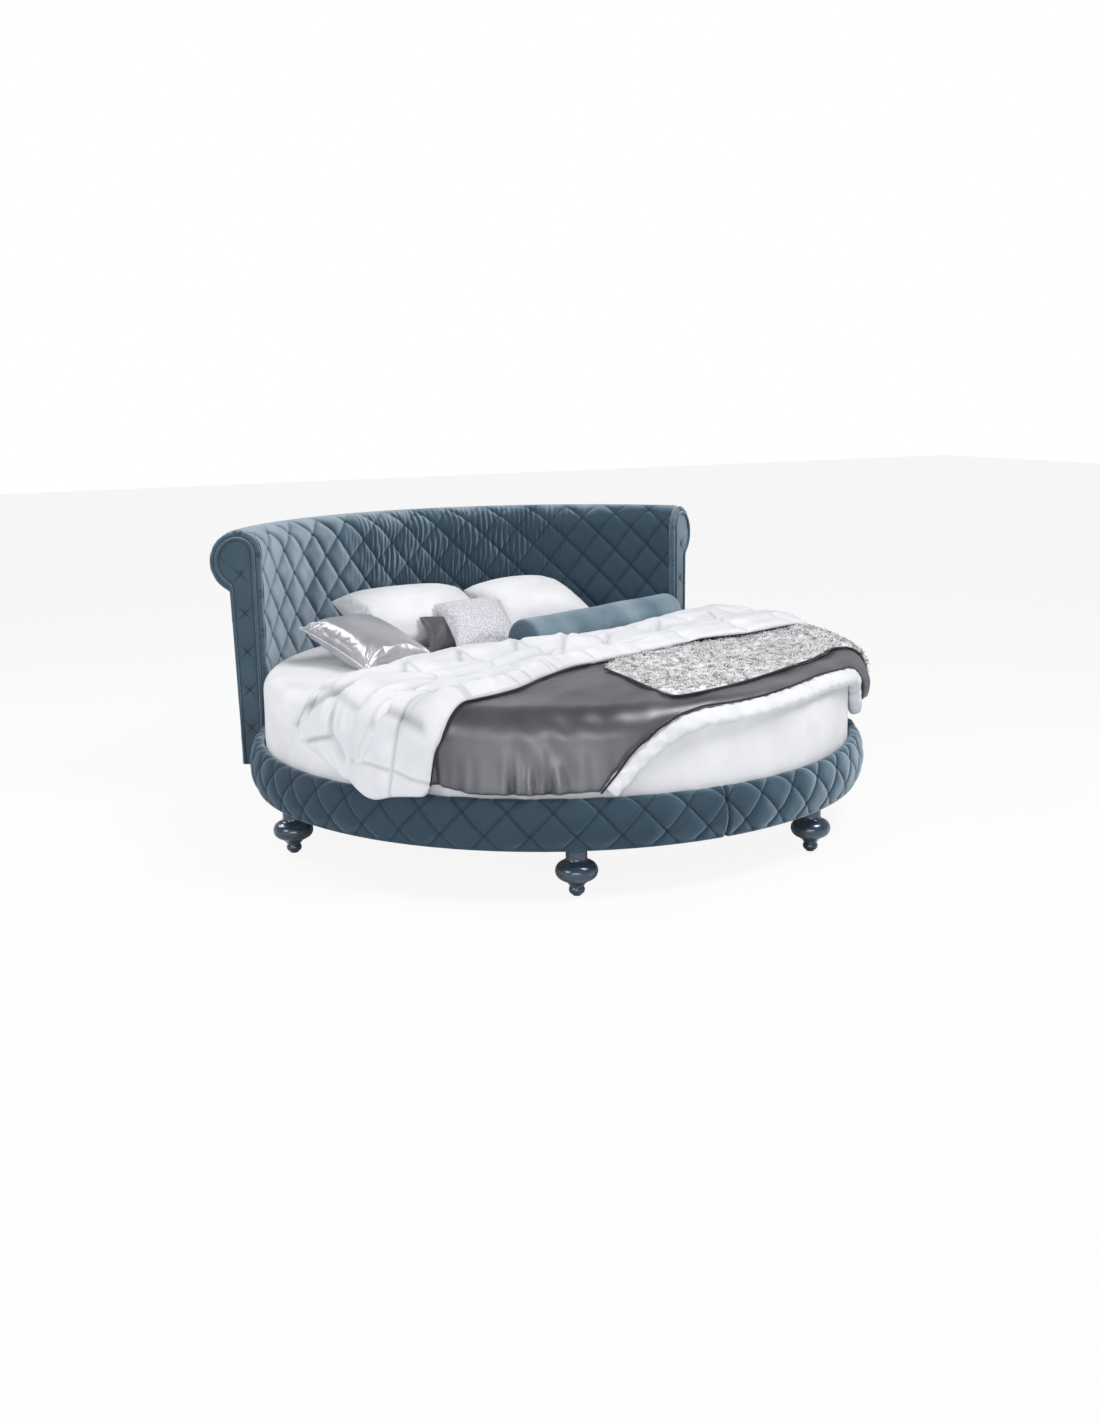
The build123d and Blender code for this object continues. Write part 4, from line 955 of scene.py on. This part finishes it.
def two_faced(upper, lower, flipped=False):
    """The points and faces of an upper and a lower grid that share their border."""
    rows, columns = upper.shape[:2]
    index = np.arange(rows * columns).reshape(rows, columns)
    under = index.copy()
    hidden = (rows - 2, columns - 2)
    under[1:-1, 1:-1] = np.arange(hidden[0] * hidden[1]).reshape(hidden) + rows * columns
    points = np.concatenate([upper.reshape(-1, 3), lower[1:-1, 1:-1].reshape(-1, 3)])
    return points, grid_quads(index, flipped) + grid_quads(under, not flipped)


def laid_piece(name, grid, lower, upper, rim, material, body, replaces=(), marks=0):
    """A padded cloth laid over the mattress: an upper and a lower face that meet in a rounded rim."""
    near = clamp(from_edge(grid) / rim)
    swell = np.sqrt(1 - (1 - near) ** 2)
    middle, half = (upper + lower) / 2, (upper - lower) / 2
    x, y = grid[..., 0], grid[..., 1]
    points, faces = two_faced(*(over_mattress(x, y, middle + side * half * swell) for side in (1, -1)))
    piece = new_piece(name, points, faces, material, body, replaces)
    # The upper face carries the painted shade marks; the lower face none.
    value = np.zeros(len(points))
    value[:x.size] = clamp(marks + 0 * x).reshape(-1)
    mark_painted_shade(piece, value)
    outward(piece)


def turned_to(x, y, heading):
    """Distances on the plan along a heading and square to it."""
    a = math.radians(heading)
    return x * math.cos(a) + y * math.sin(a), -x * math.sin(a) + y * math.cos(a)


def creases(x, y, heading, length, width, seed, count=7):
    """Soft irregular creases that run along a heading, between -1 and 1."""
    rng = np.random.default_rng(seed)
    along, side = turned_to(x, y, heading)
    total = np.zeros_like(x)
    for _ in range(count):
        wave = width * rng.uniform(0.7, 1.7)
        bend = 0.35 * width * np.sin(along / length * circle * rng.uniform(0.4, 1.1) + rng.uniform(0, 6.28))
        swell = 0.5 + 0.5 * np.sin(along / length * circle * rng.uniform(0.5, 1.2) + side / length * 2
                                   + rng.uniform(0, 6.28))
        total += swell * np.sin((side + bend) / wave * circle + rng.uniform(0, 6.28))
    return total / math.sqrt(count)


def cut(x, y, line, width):
    """Closeness to a crease drawn on the plan, fading out at its two ends."""
    points = smooth_line(line, 80)
    best = np.full(x.shape, 1e9)
    fade = np.zeros(x.shape)
    for k, (px, py) in enumerate(points):
        gap = np.hypot(x - px, y - py)
        fade = np.where(gap < best, min(1, k / 12, (79 - k) / 12), fade)
        best = np.minimum(best, gap)
    return bell(best, width) * fade


main_crease = [(-1.038, -0.536), (-0.982, -0.548), (-0.927, -0.55), (-0.86, -0.56), (-0.794, -0.519),
               (-0.72, -0.48), (-0.61, -0.43), (-0.511, -0.382), (-0.361, -0.319), (-0.21, -0.225),
               (-0.071, -0.165)]
small_creases = [[(-1.065, -0.33), (-1.024, -0.379), (-0.998, -0.405), (-0.955, -0.43)],
                 [(-1.11, -0.268), (-1.071, -0.311), (-1.03, -0.352)],
                 [(-1.12, -0.365), (-1.078, -0.419), (-1.045, -0.465)],
                 [(-1, -0.43), (-1.039, -0.455), (-1.065, -0.485), (-1.12, -0.53)],
                 [(-0.15, 0), (-0.217, -0.08), (-0.275, -0.206)],
                 [(0.06, 0.01), (-0.009, -0.079), (-0.117, -0.257)],
                 [(0.25, -0.01), (0.173, -0.093), (0.066, -0.245)],
                 [(-0.43, -0.03), (-0.48, -0.15), (-0.54, -0.29)],
                 [(-0.7, -0.17), (-0.75, -0.29), (-0.8, -0.4)],
                 [(0.56, 0.15), (0.47, 0.02), (0.39, -0.12)],
                 [(0.86, 0.25), (0.78, 0.08), (0.72, -0.08)]]
body_far = [(-1.03, -0.4), (-0.8, -0.22), (-0.5, -0.06), (-0.3, 0), (0, 0.01), (0.25, 0.02), (0.55, 0.14),
            (0.86, 0.28), (1.06, 0.36), (1.17, 0.37)]
body_near = [(-1, -0.8), (-0.955, -0.865), (-0.908, -0.935), (-0.857, -0.99), (-0.741, -1.078),
             (-0.618, -1.15), (-0.481, -1.209)]
body_left = [(-1.03, -0.4), (-1.02, -0.6), (-1, -0.8)]
piping_line = [(-0.481, -1.209), (-0.409, -1.172), (-0.321, -1.117), (-0.259, -1.096), (-0.192, -1.086),
               (-0.076, -1.079), (0.06, -1.077), (0.202, -1.055), (0.36, -1.003), (0.52, -0.925),
               (0.66, -0.845), (0.8, -0.745), (0.9, -0.69), (0.975, -0.678), (1.045, -0.64),
               (1.11, -0.535), (1.165, -0.38), (1.19, -0.15), (1.19, 0.1), (1.17, 0.37)]
satin_grid = patch(body_far, body_near, body_left, piping_line[::-1], 190, 190)
x, y = satin_grid[..., 0], satin_grid[..., 1]
far = np.hypot(x, y)
around = np.arctan2(x, -y)
drape_flare = 0.048
hang = clamp((far - 1.08) / 0.05)
flare = clamp((np.degrees(around) - 40) / 14) * clamp((far - 1.02) / 0.12)
hem = clamp((far - 1.14) / 0.16) ** 1.5 * clamp((np.degrees(-around) - 17) / 4)
pleat = (np.sin(around * 96 + 2.2 * np.sin(around * 17))
         + 0.8 * np.sin(around * 151 + 1.7 * np.sin(around * 23 + 1)))
near_fold = np.exp(-(np.clip((y + 0.30 - 0.35 * x) / -0.16, 0, 4)) ** 1.5)
top = 0.040 + 0.0035 * creases(x, y, 24, 0.9, 0.20, 3)
top += 0.0022 * creases(x, y, 60, 0.5, 0.09, 5) * (1 - hang)
top += 0.0030 * near_fold * creases(x, y, 205, 0.30, 0.045, 15)
top += hem * 0.0085 * (pleat + 0.3)
top += 0.0045 * hang * bell(around + 0.52, 0.10) * np.sin(around * 60 - far * 40)
low = 0.0012 + drape_flare * flare + hem * 0.002 * (pleat + 1.8)
top = np.maximum(top + drape_flare * flare, low + 0.012)

satin_folds = noise_group("satin_folds", {"Scale": 3.0}, {"Folds": ("Scale", (1, 1, 0.35), 3.0)})[0]


def satin(name, dark, light, rough, scale):
    """Satin: smooth and bright where it turns to the light, with slight soft folds."""
    material, tree, bsdf = finish_of(name)
    # The fold streaks in its colour are painted light and shade; the marks add painted shade in creases.
    folds = place_group(tree, satin_folds, Scale=scale).outputs["Folds"]
    paint_marked_shade(tree, bsdf, ramp(tree, folds, colours((0.35, *dark), (0.65, *light))), (44, 45, 50))
    uneven(tree, bsdf, folds, rough - 0.04, rough + 0.06)
    settle(bsdf, Specular_IOR_Level=1.0, Metallic=0.5, Sheen_Weight=0.1)
    bump(tree, bsdf, folds, 0.006, 0.5)
    return material


dark_satin = satin("dark_grey_satin", (92, 93, 98), (122, 123, 128), 0.40, 4.0)
# Painted shade on the satin: a dark band at the rim for a dark reflection, pleat valleys, a shadow by the
# fold.
painted_rim_shade = 0.55 * bell(far - 1.075, 0.045) * clamp((np.degrees(-around) + 12) / 14)
painted_hem_shade = 0.5 * hem * clamp(-0.6 * pleat)
painted_fold_shadow = 0.35 * bell(y + 0.34 - 0.35 * x, 0.10)
laid_piece("duvet_satin", satin_grid, low, top, 0.030, dark_satin, "duvet", ["duvet"],
           painted_rim_shade + painted_hem_shade + painted_fold_shadow)
# Its crease colour is the painted shade in marked stitches and creases.
quilted_cotton = woven("quilted_white_cotton", (218, 219, 223), (232, 232, 235), 0.82, 1200.0, 0.0004,
                       crease=(128, 131, 138))


def boxes(x, y, heading, size):
    """Distance to the stitching of a box quilt laid at a heading."""
    near = [np.abs((value / size + shift) % 1 - 0.5) * size
            for value, shift in zip(turned_to(x, y, heading), (0.2, 0.35))]
    return np.minimum(*near)


reverse_near = [(-1.172, -0.545), (-1.175, -0.6), (-1.168, -0.675), (-1.105, -0.745), (-1.055, -0.8),
                (-1.014, -0.842), (-0.972, -0.838)]
reverse_right = [(0.256, -0.262), (0.09, -0.322), (-0.062, -0.368), (-0.162, -0.402), (-0.32, -0.506),
                 (-0.485, -0.638), (-0.59, -0.694), (-0.676, -0.722), (-0.746, -0.745), (-0.813, -0.766),
                 (-0.871, -0.78), (-0.93, -0.812), (-0.972, -0.838)]
reverse_far = [(-1.1, -0.43), (-0.96, -0.44), (-0.8, -0.4), (-0.62, -0.32), (-0.42, -0.24), (-0.2, -0.19),
               (0, -0.18), (0.256, -0.262)]
reverse_left = [(-1.1, -0.43), (-1.15, -0.49), (-1.172, -0.545)]
grid = patch(reverse_far, reverse_near, reverse_left, reverse_right, 170, 150)
x, y = grid[..., 0], grid[..., 1]
far = np.hypot(x, y)
off_stitch = boxes(x, y, 24, 0.26)
stitch = bell(off_stitch, 0.006)
puff = 1 - np.exp(-(off_stitch / 0.045) ** 1.5)
hang = clamp((far - 1.08) / 0.06)
lump = creases(x, y, 36, 0.5, 0.16, 11)
beside = np.full(x.shape, 1e9)
for px, py in smooth_line(reverse_right, 400):
    beside = np.minimum(beside, np.hypot(x - px, y - py))
roll = bell(beside - 0.055, 0.042) * clamp(1 - hang * 0.8)
valley = bell(beside - 0.125, 0.022) * (1 - hang)
top = 0.064 + 0.006 * puff - 0.005 * stitch + 0.003 * lump + 0.026 * roll - 0.006 * valley
# Painted shade in the stitch lines and the valley beside the roll; the creases below take painted shade
# too.
marks = 0.35 * stitch + 0.25 * valley
top += hang * 0.004 * np.sin(np.arctan2(x, -y) * 70 + 2 * far)
top += roll * 0.003 * np.sin(creases(x, y, 120, 0.2, 0.05, 51) * 3)
for line, depth, shade, wide in (
        ([(-0.935, -0.556), (-0.900, -0.625), (-0.840, -0.740)], 0.008, 0.5, 0.009),
        ([(-0.760, -0.560), (-0.735, -0.660), (-0.700, -0.760)], 0.006, 0.4, 0.008),
        ([(-0.470, -0.480), (-0.420, -0.560), (-0.400, -0.600)], 0.006, 0.4, 0.008),
        ([(-0.300, -0.380), (-0.250, -0.440), (-0.240, -0.470)], 0.006, 0.4, 0.008)):
    top -= depth * cut(x, y, line, 0.009)
    marks += shade * cut(x, y, line, wide)
low = np.where(far > 1.10, 0.034 + 0.004 * lump, 0.043)
laid_piece("duvet_reverse", grid, low, top, 0.028, quilted_cotton, "duvet",
           marks=marks)

fold_far = [(-1.124, -0.213), (-1.07, -0.262), (-1.01, -0.262), (-0.86, -0.165), (-0.768, -0.105),
            (-0.56, 0.035), (-0.357, 0.1), (-0.152, 0.109), (0.072, 0.105), (0.26, 0.118), (0.522, 0.244),
            (0.865, 0.394), (1, 0.44), (1.11, 0.45)]
fold_near = [(-1.172, -0.552), (-1.09, -0.585), (-1.006, -0.59), (-0.926, -0.592), (-0.797, -0.56),
             (-0.597, -0.465), (-0.413, -0.385), (-0.218, -0.3), (-0.003, -0.272), (0.256, -0.268),
             (0.517, -0.215), (0.763, -0.198), (1.052, -0.11), (1.17, -0.06)]
fold_left = [(-1.124, -0.213), (-1.136, -0.342), (-1.165, -0.471), (-1.172, -0.552)]
fold_right = [(1.11, 0.45), (1.18, 0.2), (1.17, -0.06)]
grid = patch(fold_far, fold_near, fold_left, fold_right, 330, 140)
x, y = grid[..., 0], grid[..., 1]
u, v = np.meshgrid(np.linspace(0, 1, 330), np.linspace(0, 1, 140), indexing="ij")
off_stitch = boxes(x, y, 15, 0.29)
stitch = bell(off_stitch, 0.007)
puff = 1 - np.exp(-(off_stitch / 0.05) ** 1.5)
tucks = creases(x, y, 18, 0.7, 0.085, 21)
fine = creases(x, y, 30, 0.3, 0.035, 27)
left = clamp((0.32 - u) / 0.2)
right = clamp((u - 0.52) / 0.1)
hump = bell(v - 0.42, 0.24) * 0.034 + bell(v - 0.92, 0.06) * 0.004
double = 0.018 * bell(v - 0.25, 0.16) + 0.022 * bell(v - 0.72, 0.16)
hump = hump * (1 - right) + right * double
top = 0.070 + hump + 0.008 * puff - 0.006 * stitch
top += (0.003 + 0.007 * left) * tucks + (0.0014 + 0.002 * left) * fine
low = 0.0425 - 0.040 * clamp(1 - v / 0.30)
low += 0.022 * clamp((u - 0.60) / 0.1) * clamp((v - 0.7) / 0.2)
ridge = [(px, py + 0.045) for px, py in main_crease]
top += 0.012 * cut(x, y, ridge, 0.022) - 0.026 * cut(x, y, main_crease, 0.016)
# Painted shade in the stitch lines and along the main and the small creases.
marks = 0.30 * stitch + 0.75 * cut(x, y, main_crease, 0.011)
for line in small_creases:
    ridge = [(px - 0.012, py + 0.022) for px, py in line]
    top += 0.006 * cut(x, y, ridge, 0.014) - 0.013 * cut(x, y, line, 0.010)
    marks += (0.5 if line[0][0] < -1 else 0.25) * cut(x, y, line, 0.008)
top = np.maximum(top + 0.012 * clamp((u - 0.55) / 0.2), low + 0.012)
laid_piece("duvet_fold", grid, low, top, 0.034, quilted_cotton, "duvet",
           marks=marks)


def strip_frames(line, lift, count):
    """Points along a line on the bedding, with the directions along it, off it and across it."""
    flat = smooth_line(line, count)
    lift = np.interp(np.linspace(0, 1, count), *lift)
    centre = over_mattress(flat[:, 0], flat[:, 1], lift)
    off = over_mattress(flat[:, 0], flat[:, 1], lift + 0.01) - centre
    off /= np.linalg.norm(off, axis=1)[:, None]
    along = np.gradient(centre, axis=0)
    along /= np.linalg.norm(along, axis=1)[:, None]
    across = np.cross(along, off)
    across /= np.linalg.norm(across, axis=1)[:, None]
    return centre, along, off, across


def rolled_strip(line, lift, wide, thick, count, bulge):
    """Points and faces of a padded strip along a line on the bedding, with round sides and closed ends."""
    centre, _, off, across = strip_frames(line, lift, count)
    sides = 28
    turn = np.linspace(0, 2 * math.pi, sides, endpoint=False)
    cosine, sine = np.cos(turn), np.sin(turn)
    squarish = (np.abs(cosine) ** 4 + np.abs(sine) ** 4) ** -0.25 * 0.5 + 0.5
    size = bulge(np.linspace(0, 1, count)[:, None], turn[None, :])
    close = clamp(np.minimum(np.arange(count), np.arange(count)[::-1]) / 3.0)
    close = np.sqrt(1 - (1 - close) ** 2)[:, None]
    points = (centre[:, None, :]
              + across[:, None, :] * (wide / 2 * cosine * squarish * size * close)[..., None]
              + off[:, None, :] * (thick / 2 * sine * squarish * size * close)[..., None])
    return points.reshape(-1, 3), tube_quads(count, sides)


border_line = [(-0.452, -1.222), (-0.372, -1.187), (-0.29, -1.145), (-0.235, -1.122), (-0.17, -1.108),
               (-0.076, -1.1), (0.06, -1.096), (0.215, -1.07), (0.38, -1.015), (0.54, -0.935),
               (0.68, -0.852), (0.82, -0.752), (0.91, -0.706), (0.995, -0.7), (1.07, -0.655),
               (1.135, -0.54), (1.19, -0.38), (1.215, -0.15), (1.215, 0.1), (1.19, 0.36)]


def border_swell(t, turn):
    """The border bulges between pinches along its length."""
    pinch = np.abs(np.sin(t * 62 + 0.4 * np.sin(t * 23)))
    return 0.90 + 0.09 * pinch**0.5 + 0.05 * np.sin(t * 240 + 3 * turn) + 0.04 * np.sin(t * 410 - 2 * turn)


border_width, border_thickness = 0.062, 0.050
border_lift = ([0, 0.2, 0.55, 0.62, 0.72, 1], [0.022, 0.024, 0.024, 0.040, 0.062, 0.064])
points, faces = rolled_strip(border_line, border_lift, border_width, border_thickness, 700, border_swell)
border = new_piece("duvet_border", points, faces, quilted_cotton, "duvet")
outward(border, 0.00001)

# Piping: black cotton over a cord, sewn in where the satin meets the border on the right and the
# reverse on the left.
black_cotton = woven("black_cotton", (26, 26, 29), (40, 40, 44), 0.7, 1500.0, 0.0004)
duvet_piping = 0.0036
right_lift = ([0, 0.2, 0.55, 0.62, 0.72, 1], [0.043, 0.046, 0.047, 0.068, 0.091, 0.092])
left_lift = ([0, 0.5, 1], [0.049, 0.050, 0.048])
for name, line, lift in (("piping_right", piping_line, right_lift),
                         ("piping_left", reverse_right[2:], left_lift)):
    piped(name, strip_frames(line, lift, 500)[0], duvet_piping, 10, black_cotton, "duvet")


# Fur throw: grey and white long pile on a knitted back, its tufts leaning a little, edged in black.
throw_left = [(-0.062, -0.47), (-0.088, -0.686), (-0.12, -0.9), (-0.118, -1.02)]
throw_near = [(-0.118, -1.02), (0.08, -0.985), (0.293, -0.903), (0.48, -0.82), (0.657, -0.736),
              (0.8, -0.64), (0.93, -0.56), (1.03, -0.5)]
throw_far = [(-0.062, -0.47), (0.06, -0.36), (0.182, -0.296), (0.449, -0.225), (0.72, -0.17),
             (1.04, -0.09), (1.15, -0.06)]
throw_right = [(1.15, -0.06), (1.16, -0.25), (1.11, -0.4), (1.03, -0.5)]
grid = patch(throw_far, throw_near, throw_left, throw_right, 120, 90)
x, y = grid[..., 0], grid[..., 1]
far = np.hypot(x, y)
throw_flare = 0.050 * clamp((far - 1.02) / 0.12)
throw_flare = throw_flare * clamp((np.degrees(np.arctan2(x, -y)) - 40) / 14)
pelt_under, pelt_over, throw_cord = 0.0435, 0.056, 0.0045
top = pelt_over + 0.003 * creases(x, y, 20, 0.6, 0.18, 31) + throw_flare
fur = specked("speckled_fur", 36.0, [(0.33, 132, 130, 138), (0.41, 226, 225, 229), (0.47, 255, 255, 255)],
              0.9, 0.003, Sheen_Weight=1.0, Sheen_Roughness=0.4, Subsurface_Weight=0.7,
              Subsurface_Radius=(1, 1, 1), Subsurface_Scale=0.010)
tree = fur.node_tree
surface = tree.nodes.new("ShaderNodeNewGeometry")
upright = arithmetic(tree, "MULTIPLY_ADD", surface.outputs["Normal"], (0.25, 0.25, 0.25), (0, 0, 0.75),
                     kind="ShaderNodeVectorMath")
even = arithmetic(tree, "NORMALIZE", upright, kind="ShaderNodeVectorMath")
tree.links.new(even, tree.nodes["Bump"].inputs["Normal"])
laid_piece("throw_pelt", grid, pelt_under + throw_flare, top, 0.012, fur, "fur_throw",
           ["fur_throw"])
throw_edge = strip_frames(throw_left + throw_near[1:], ([0, 0.5, 1], [0.0475, 0.0475, 0.060]), 400)[0]
piped("throw_piping", throw_edge, throw_cord, 8, black_cotton, "fur_throw")

tuft_tree, start, end = geometry_tree("tufts", {"Pelt": "Geometry", "Tuft": "Object", "Density": "Float",
                                                "Seed": "Int", "Fur": "Material"}, "Pile")
spread = tuft_tree.nodes.new("GeometryNodeDistributePointsOnFaces")
tuft_object = tuft_tree.nodes.new("GeometryNodeObjectInfo")
turned = tuft_tree.nodes.new("FunctionNodeRandomValue")
turned.data_type = "FLOAT_VECTOR"
turned.inputs[0].default_value = (-0.45, -0.45, -3.1)
turned.inputs[1].default_value = (0.45, 0.45, 3.1)
rotate = tuft_tree.nodes.new("FunctionNodeRotateRotation")
rotate.rotation_space = "LOCAL"
sized = tuft_tree.nodes.new("FunctionNodeRandomValue")
sized.inputs[2].default_value = 0.7
sized.inputs[3].default_value = 1.25
instance = tuft_tree.nodes.new("GeometryNodeInstanceOnPoints")
wire(tuft_tree, (start["Pelt"], spread.inputs["Mesh"]), (start["Density"], spread.inputs["Density"]),
     (start["Seed"], spread.inputs["Seed"]), (spread.outputs["Points"], instance.inputs["Points"]),
     (start["Tuft"], tuft_object.inputs["Object"]),
     (tuft_object.outputs["Geometry"], instance.inputs["Instance"]),
     (spread.outputs["Rotation"], rotate.inputs[0]), (turned.outputs[0], rotate.inputs[1]),
     (rotate.outputs[0], instance.inputs["Rotation"]), (sized.outputs[1], instance.inputs["Scale"]))
closing(tuft_tree, instance.outputs[0], start["Fur"], end)
points, faces = [], []
for k in range(4):
    a = k * 1.57
    outwards = np.array([math.cos(a), math.sin(a), 0])
    base, lean = outwards * 0.0018, outwards * 0.004
    side = np.array([-math.sin(a), math.cos(a), 0]) * 0.0015
    n = len(points)
    points += [base - side, base + side, base + lean * 1.2 + side + (0, 0, 0.0045),
               base + lean * 1.2 - side + (0, 0, 0.0045), base + lean * 2.8 + (0, 0, 0.0062)]
    faces += [(n + 3, n + 2, n + 1, n), (n + 4, n + 2, n + 3)]
tuft = bpy.data.objects.new("tuft", mesh_of("tuft", points, faces))
skin_points = over_mattress(x, y, top - 0.0005)
skin = mesh_of("pelt_skin", skin_points.reshape(-1, 3), grid_quads(np.arange(x.size).reshape(x.shape)))
down, across = skin_points[1, 0] - skin_points[0, 0], skin_points[0, 1] - skin_points[0, 0]
if np.cross(down, across)[2] > 0:
    skin.flip_normals()
from_tree("throw_pile", skin, tuft_tree, {"Tuft": tuft, "Density": 4500.0, "Seed": 5, "Fur": fur},
          "fur_throw")
bpy.data.objects.remove(tuft)


# Pillows: cases of white cotton, silver and grey satin and a speckled cloth over soft fillings. Each
# is cut from two sheets sewn round, so its corners stay thin while its middle swells.
mattress_top, on_sheet = 0.575, 0.5758
case_gap, crown = 0.0015, 0.95


def corners_of(u, v, height, width):
    """Distance and direction from each corner of a cloth whose sides lie at -1 and 1."""
    for cx, cy in ((-1, -1), (1, -1), (1, 1), (-1, 1)):
        across, up = u - cx, (v - cy) * height / width
        yield cx, cy, np.hypot(across, up), np.arctan2(up, across)


def pillow(name, size, place, yaw, lean, material, slot, crease, seed, welt=0.0):
    """A pillow of a width, height and thickness, turned by its yaw and leaning back on the bed."""
    width, height, thick = size
    t = math.radians(lean)
    along = np.array([math.cos(math.radians(yaw)), math.sin(math.radians(yaw)), 0])
    slope = np.array([-along[1] * math.cos(t), along[0] * math.cos(t), math.sin(t)])
    off = np.cross(along, slope)
    g = np.sin(np.linspace(-math.pi / 2, math.pi / 2, 49))
    u, v = np.meshgrid(g, g, indexing="ij")
    x = u * width / 2 * (1 - 0.055 * (1 - v**2)) * (1 - 0.012 * (1 - v**2))
    y = v * height / 2 * (1 - 0.055 * (1 - u**2))
    swell = clamp((1 - np.abs(u) ** 2.3) * (1 - np.abs(v) ** 2.3)) ** 0.52
    rng = np.random.default_rng(seed)
    fold = np.zeros_like(u)
    for _, _, away, turn in corners_of(u, v, height, width):
        fold += bell(away - 0.35, 0.3) * np.sin(turn * rng.uniform(9, 15) + rng.uniform(0, 6))
    half = thick / 2 * crown * swell + crease * fold * swell**2
    centre = np.array([place[0], place[1], mattress_top + place[2]])
    flat = centre + x[..., None] * along + y[..., None] * slope
    rise = (half + case_gap)[..., None] * off
    points, faces = two_faced(flat + rise, flat - rise, True)
    start = mesh_of(name + "_start", points, faces)
    piece, points = inflated(name + "_case", start, 0.0055, 4.0, 0.016, 20)
    local = points - centre
    a, b, c = local @ along / (width / 2), local @ slope / (height / 2), local @ off
    side = np.sign(c) * clamp(np.abs(c) / 0.02)
    for cx, cy, away, turn in corners_of(a, b, height, width):
        ripple = np.sin(turn * 26 + 3 * np.sin(away * 5 + cx + 2 * cy)) * bell(away - 0.22, 0.20)
        points = points + off[None, :] * (0.5 * crease * ripple * side)[:, None]
    points[:, 2] = np.maximum(points[:, 2], on_sheet)
    upholster(piece, points, material, name, name)
    if welt:
        border = np.concatenate([flat[:, 0], flat[-1, 1:], flat[-2::-1, -1], flat[0, -2::-1]])
        border[:, 2] = np.maximum(border[:, 2], on_sheet + welt)
        piped(name + "_welt", border, welt, 8, material, name)


silver_satin = satin("silver_satin_cloth", (176, 176, 181), (216, 216, 221), 0.36, 5.0)
speckled = specked("speckled_cloth_weave", 160.0, [(0.36, 176, 174, 182), (0.5, 204, 202, 209),
                                                   (0.64, 224, 223, 227)], 0.7, 0.0006, Sheen_Weight=0.3)
for row in (
        ("white_pillow_left", (0.60, 0.43, 0.18), (-0.255, 0.735, 0.105), 2, 16, percale, "white_cotton",
         0.004, 3),
        ("white_pillow_right", (0.46, 0.43, 0.18), (0.279, 0.740, 0.105), 2, 16, percale, "white_cotton",
         0.004, 4),
        ("grey_pillow", (0.32, 0.18, 0.08), (-0.175, 0.485, 0.061), -4, 50, dark_satin, "grey_satin",
         0.002, 5),
        ("silver_pillow", (0.33, 0.43, 0.12), (-0.641, 0.310, 0.084), 15, 15, silver_satin, "silver_satin",
         0.018, 6, 0.003),
        ("square_cushion", (0.30, 0.34, 0.10), (-0.124, 0.416, 0.096), -7, 25, speckled, "speckled_cloth",
         0.003, 8)):
    pillow(*row)

# Bolster: a roll of wadding in the bed's velvet, its ends rounded and gathered. It lies on the
# sheet in front of the right pillow.
bolster_turn = math.radians(21.2)
axis = np.array([math.cos(bolster_turn), math.sin(bolster_turn), 0])
side = np.array([-axis[1], axis[0], 0])
centre = np.array([0.348, 0.279, sheet_top + 0.074])
half_profile = [(0.0, 0.4785), (0.030, 0.4795), (0.050, 0.4798)]
half_profile += [(r, a) for a, r in arc((0.480, 0.054), (0.4724, 0.0724), (0.454, 0.080), 8)]
profile = [(r, -a) for r, a in half_profile]
profile += [(0.080, -0.454 + 0.908 * k / 90) for k in range(1, 90)]
profile += half_profile[::-1]
local, faces = lathe(profile, (0, 0), 72)
local = np.array(local)
points = centre + local[:, :1] * side + local[:, 1:2] * np.array([[0, 0, 1]]) + local[:, 2:] * axis
start = mesh_of("bolster_start", points, faces)
bolster, points = inflated("velvet_bolster_roll", start, 0.006, 3.0, 0.003, 12)
off = points - centre
a = off @ axis
turn = np.arctan2(off[:, 2], off @ side)
end_near = bell(0.46 - np.abs(a), 0.05)
ripple = 0.0014 * end_near * np.sin(turn * 34 + 4 * np.sin(a * 30))
ripple = ripple + 0.0016 * np.sin(a * 17 + 2 * np.sin(turn)) * np.cos(turn * 2 + a * 5)
radial = off - a[:, None] * axis
radial /= np.maximum(np.linalg.norm(radial, axis=1), 1e-6)[:, None]
points = points + radial * (ripple - 0.002)[:, None]
points[:, 2] = np.maximum(points[:, 2], on_sheet)
# A lit copy of the same velvet for the bolster: paler tones, with the ring's painted light.
bolster_velvet = velvet("bolster_velvet", [(0.0, 74, 93, 107), (0.30, 96, 115, 128), (0.62, 124, 142, 154),
                                           (0.95, 156, 171, 180)], (44, 60, 73), 1.3)
upholster(bolster, points, bolster_velvet, "velvet_bolster", "velvet_bolster")

size = {"cad": cad_box, "visual": [list(corner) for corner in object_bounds()]}
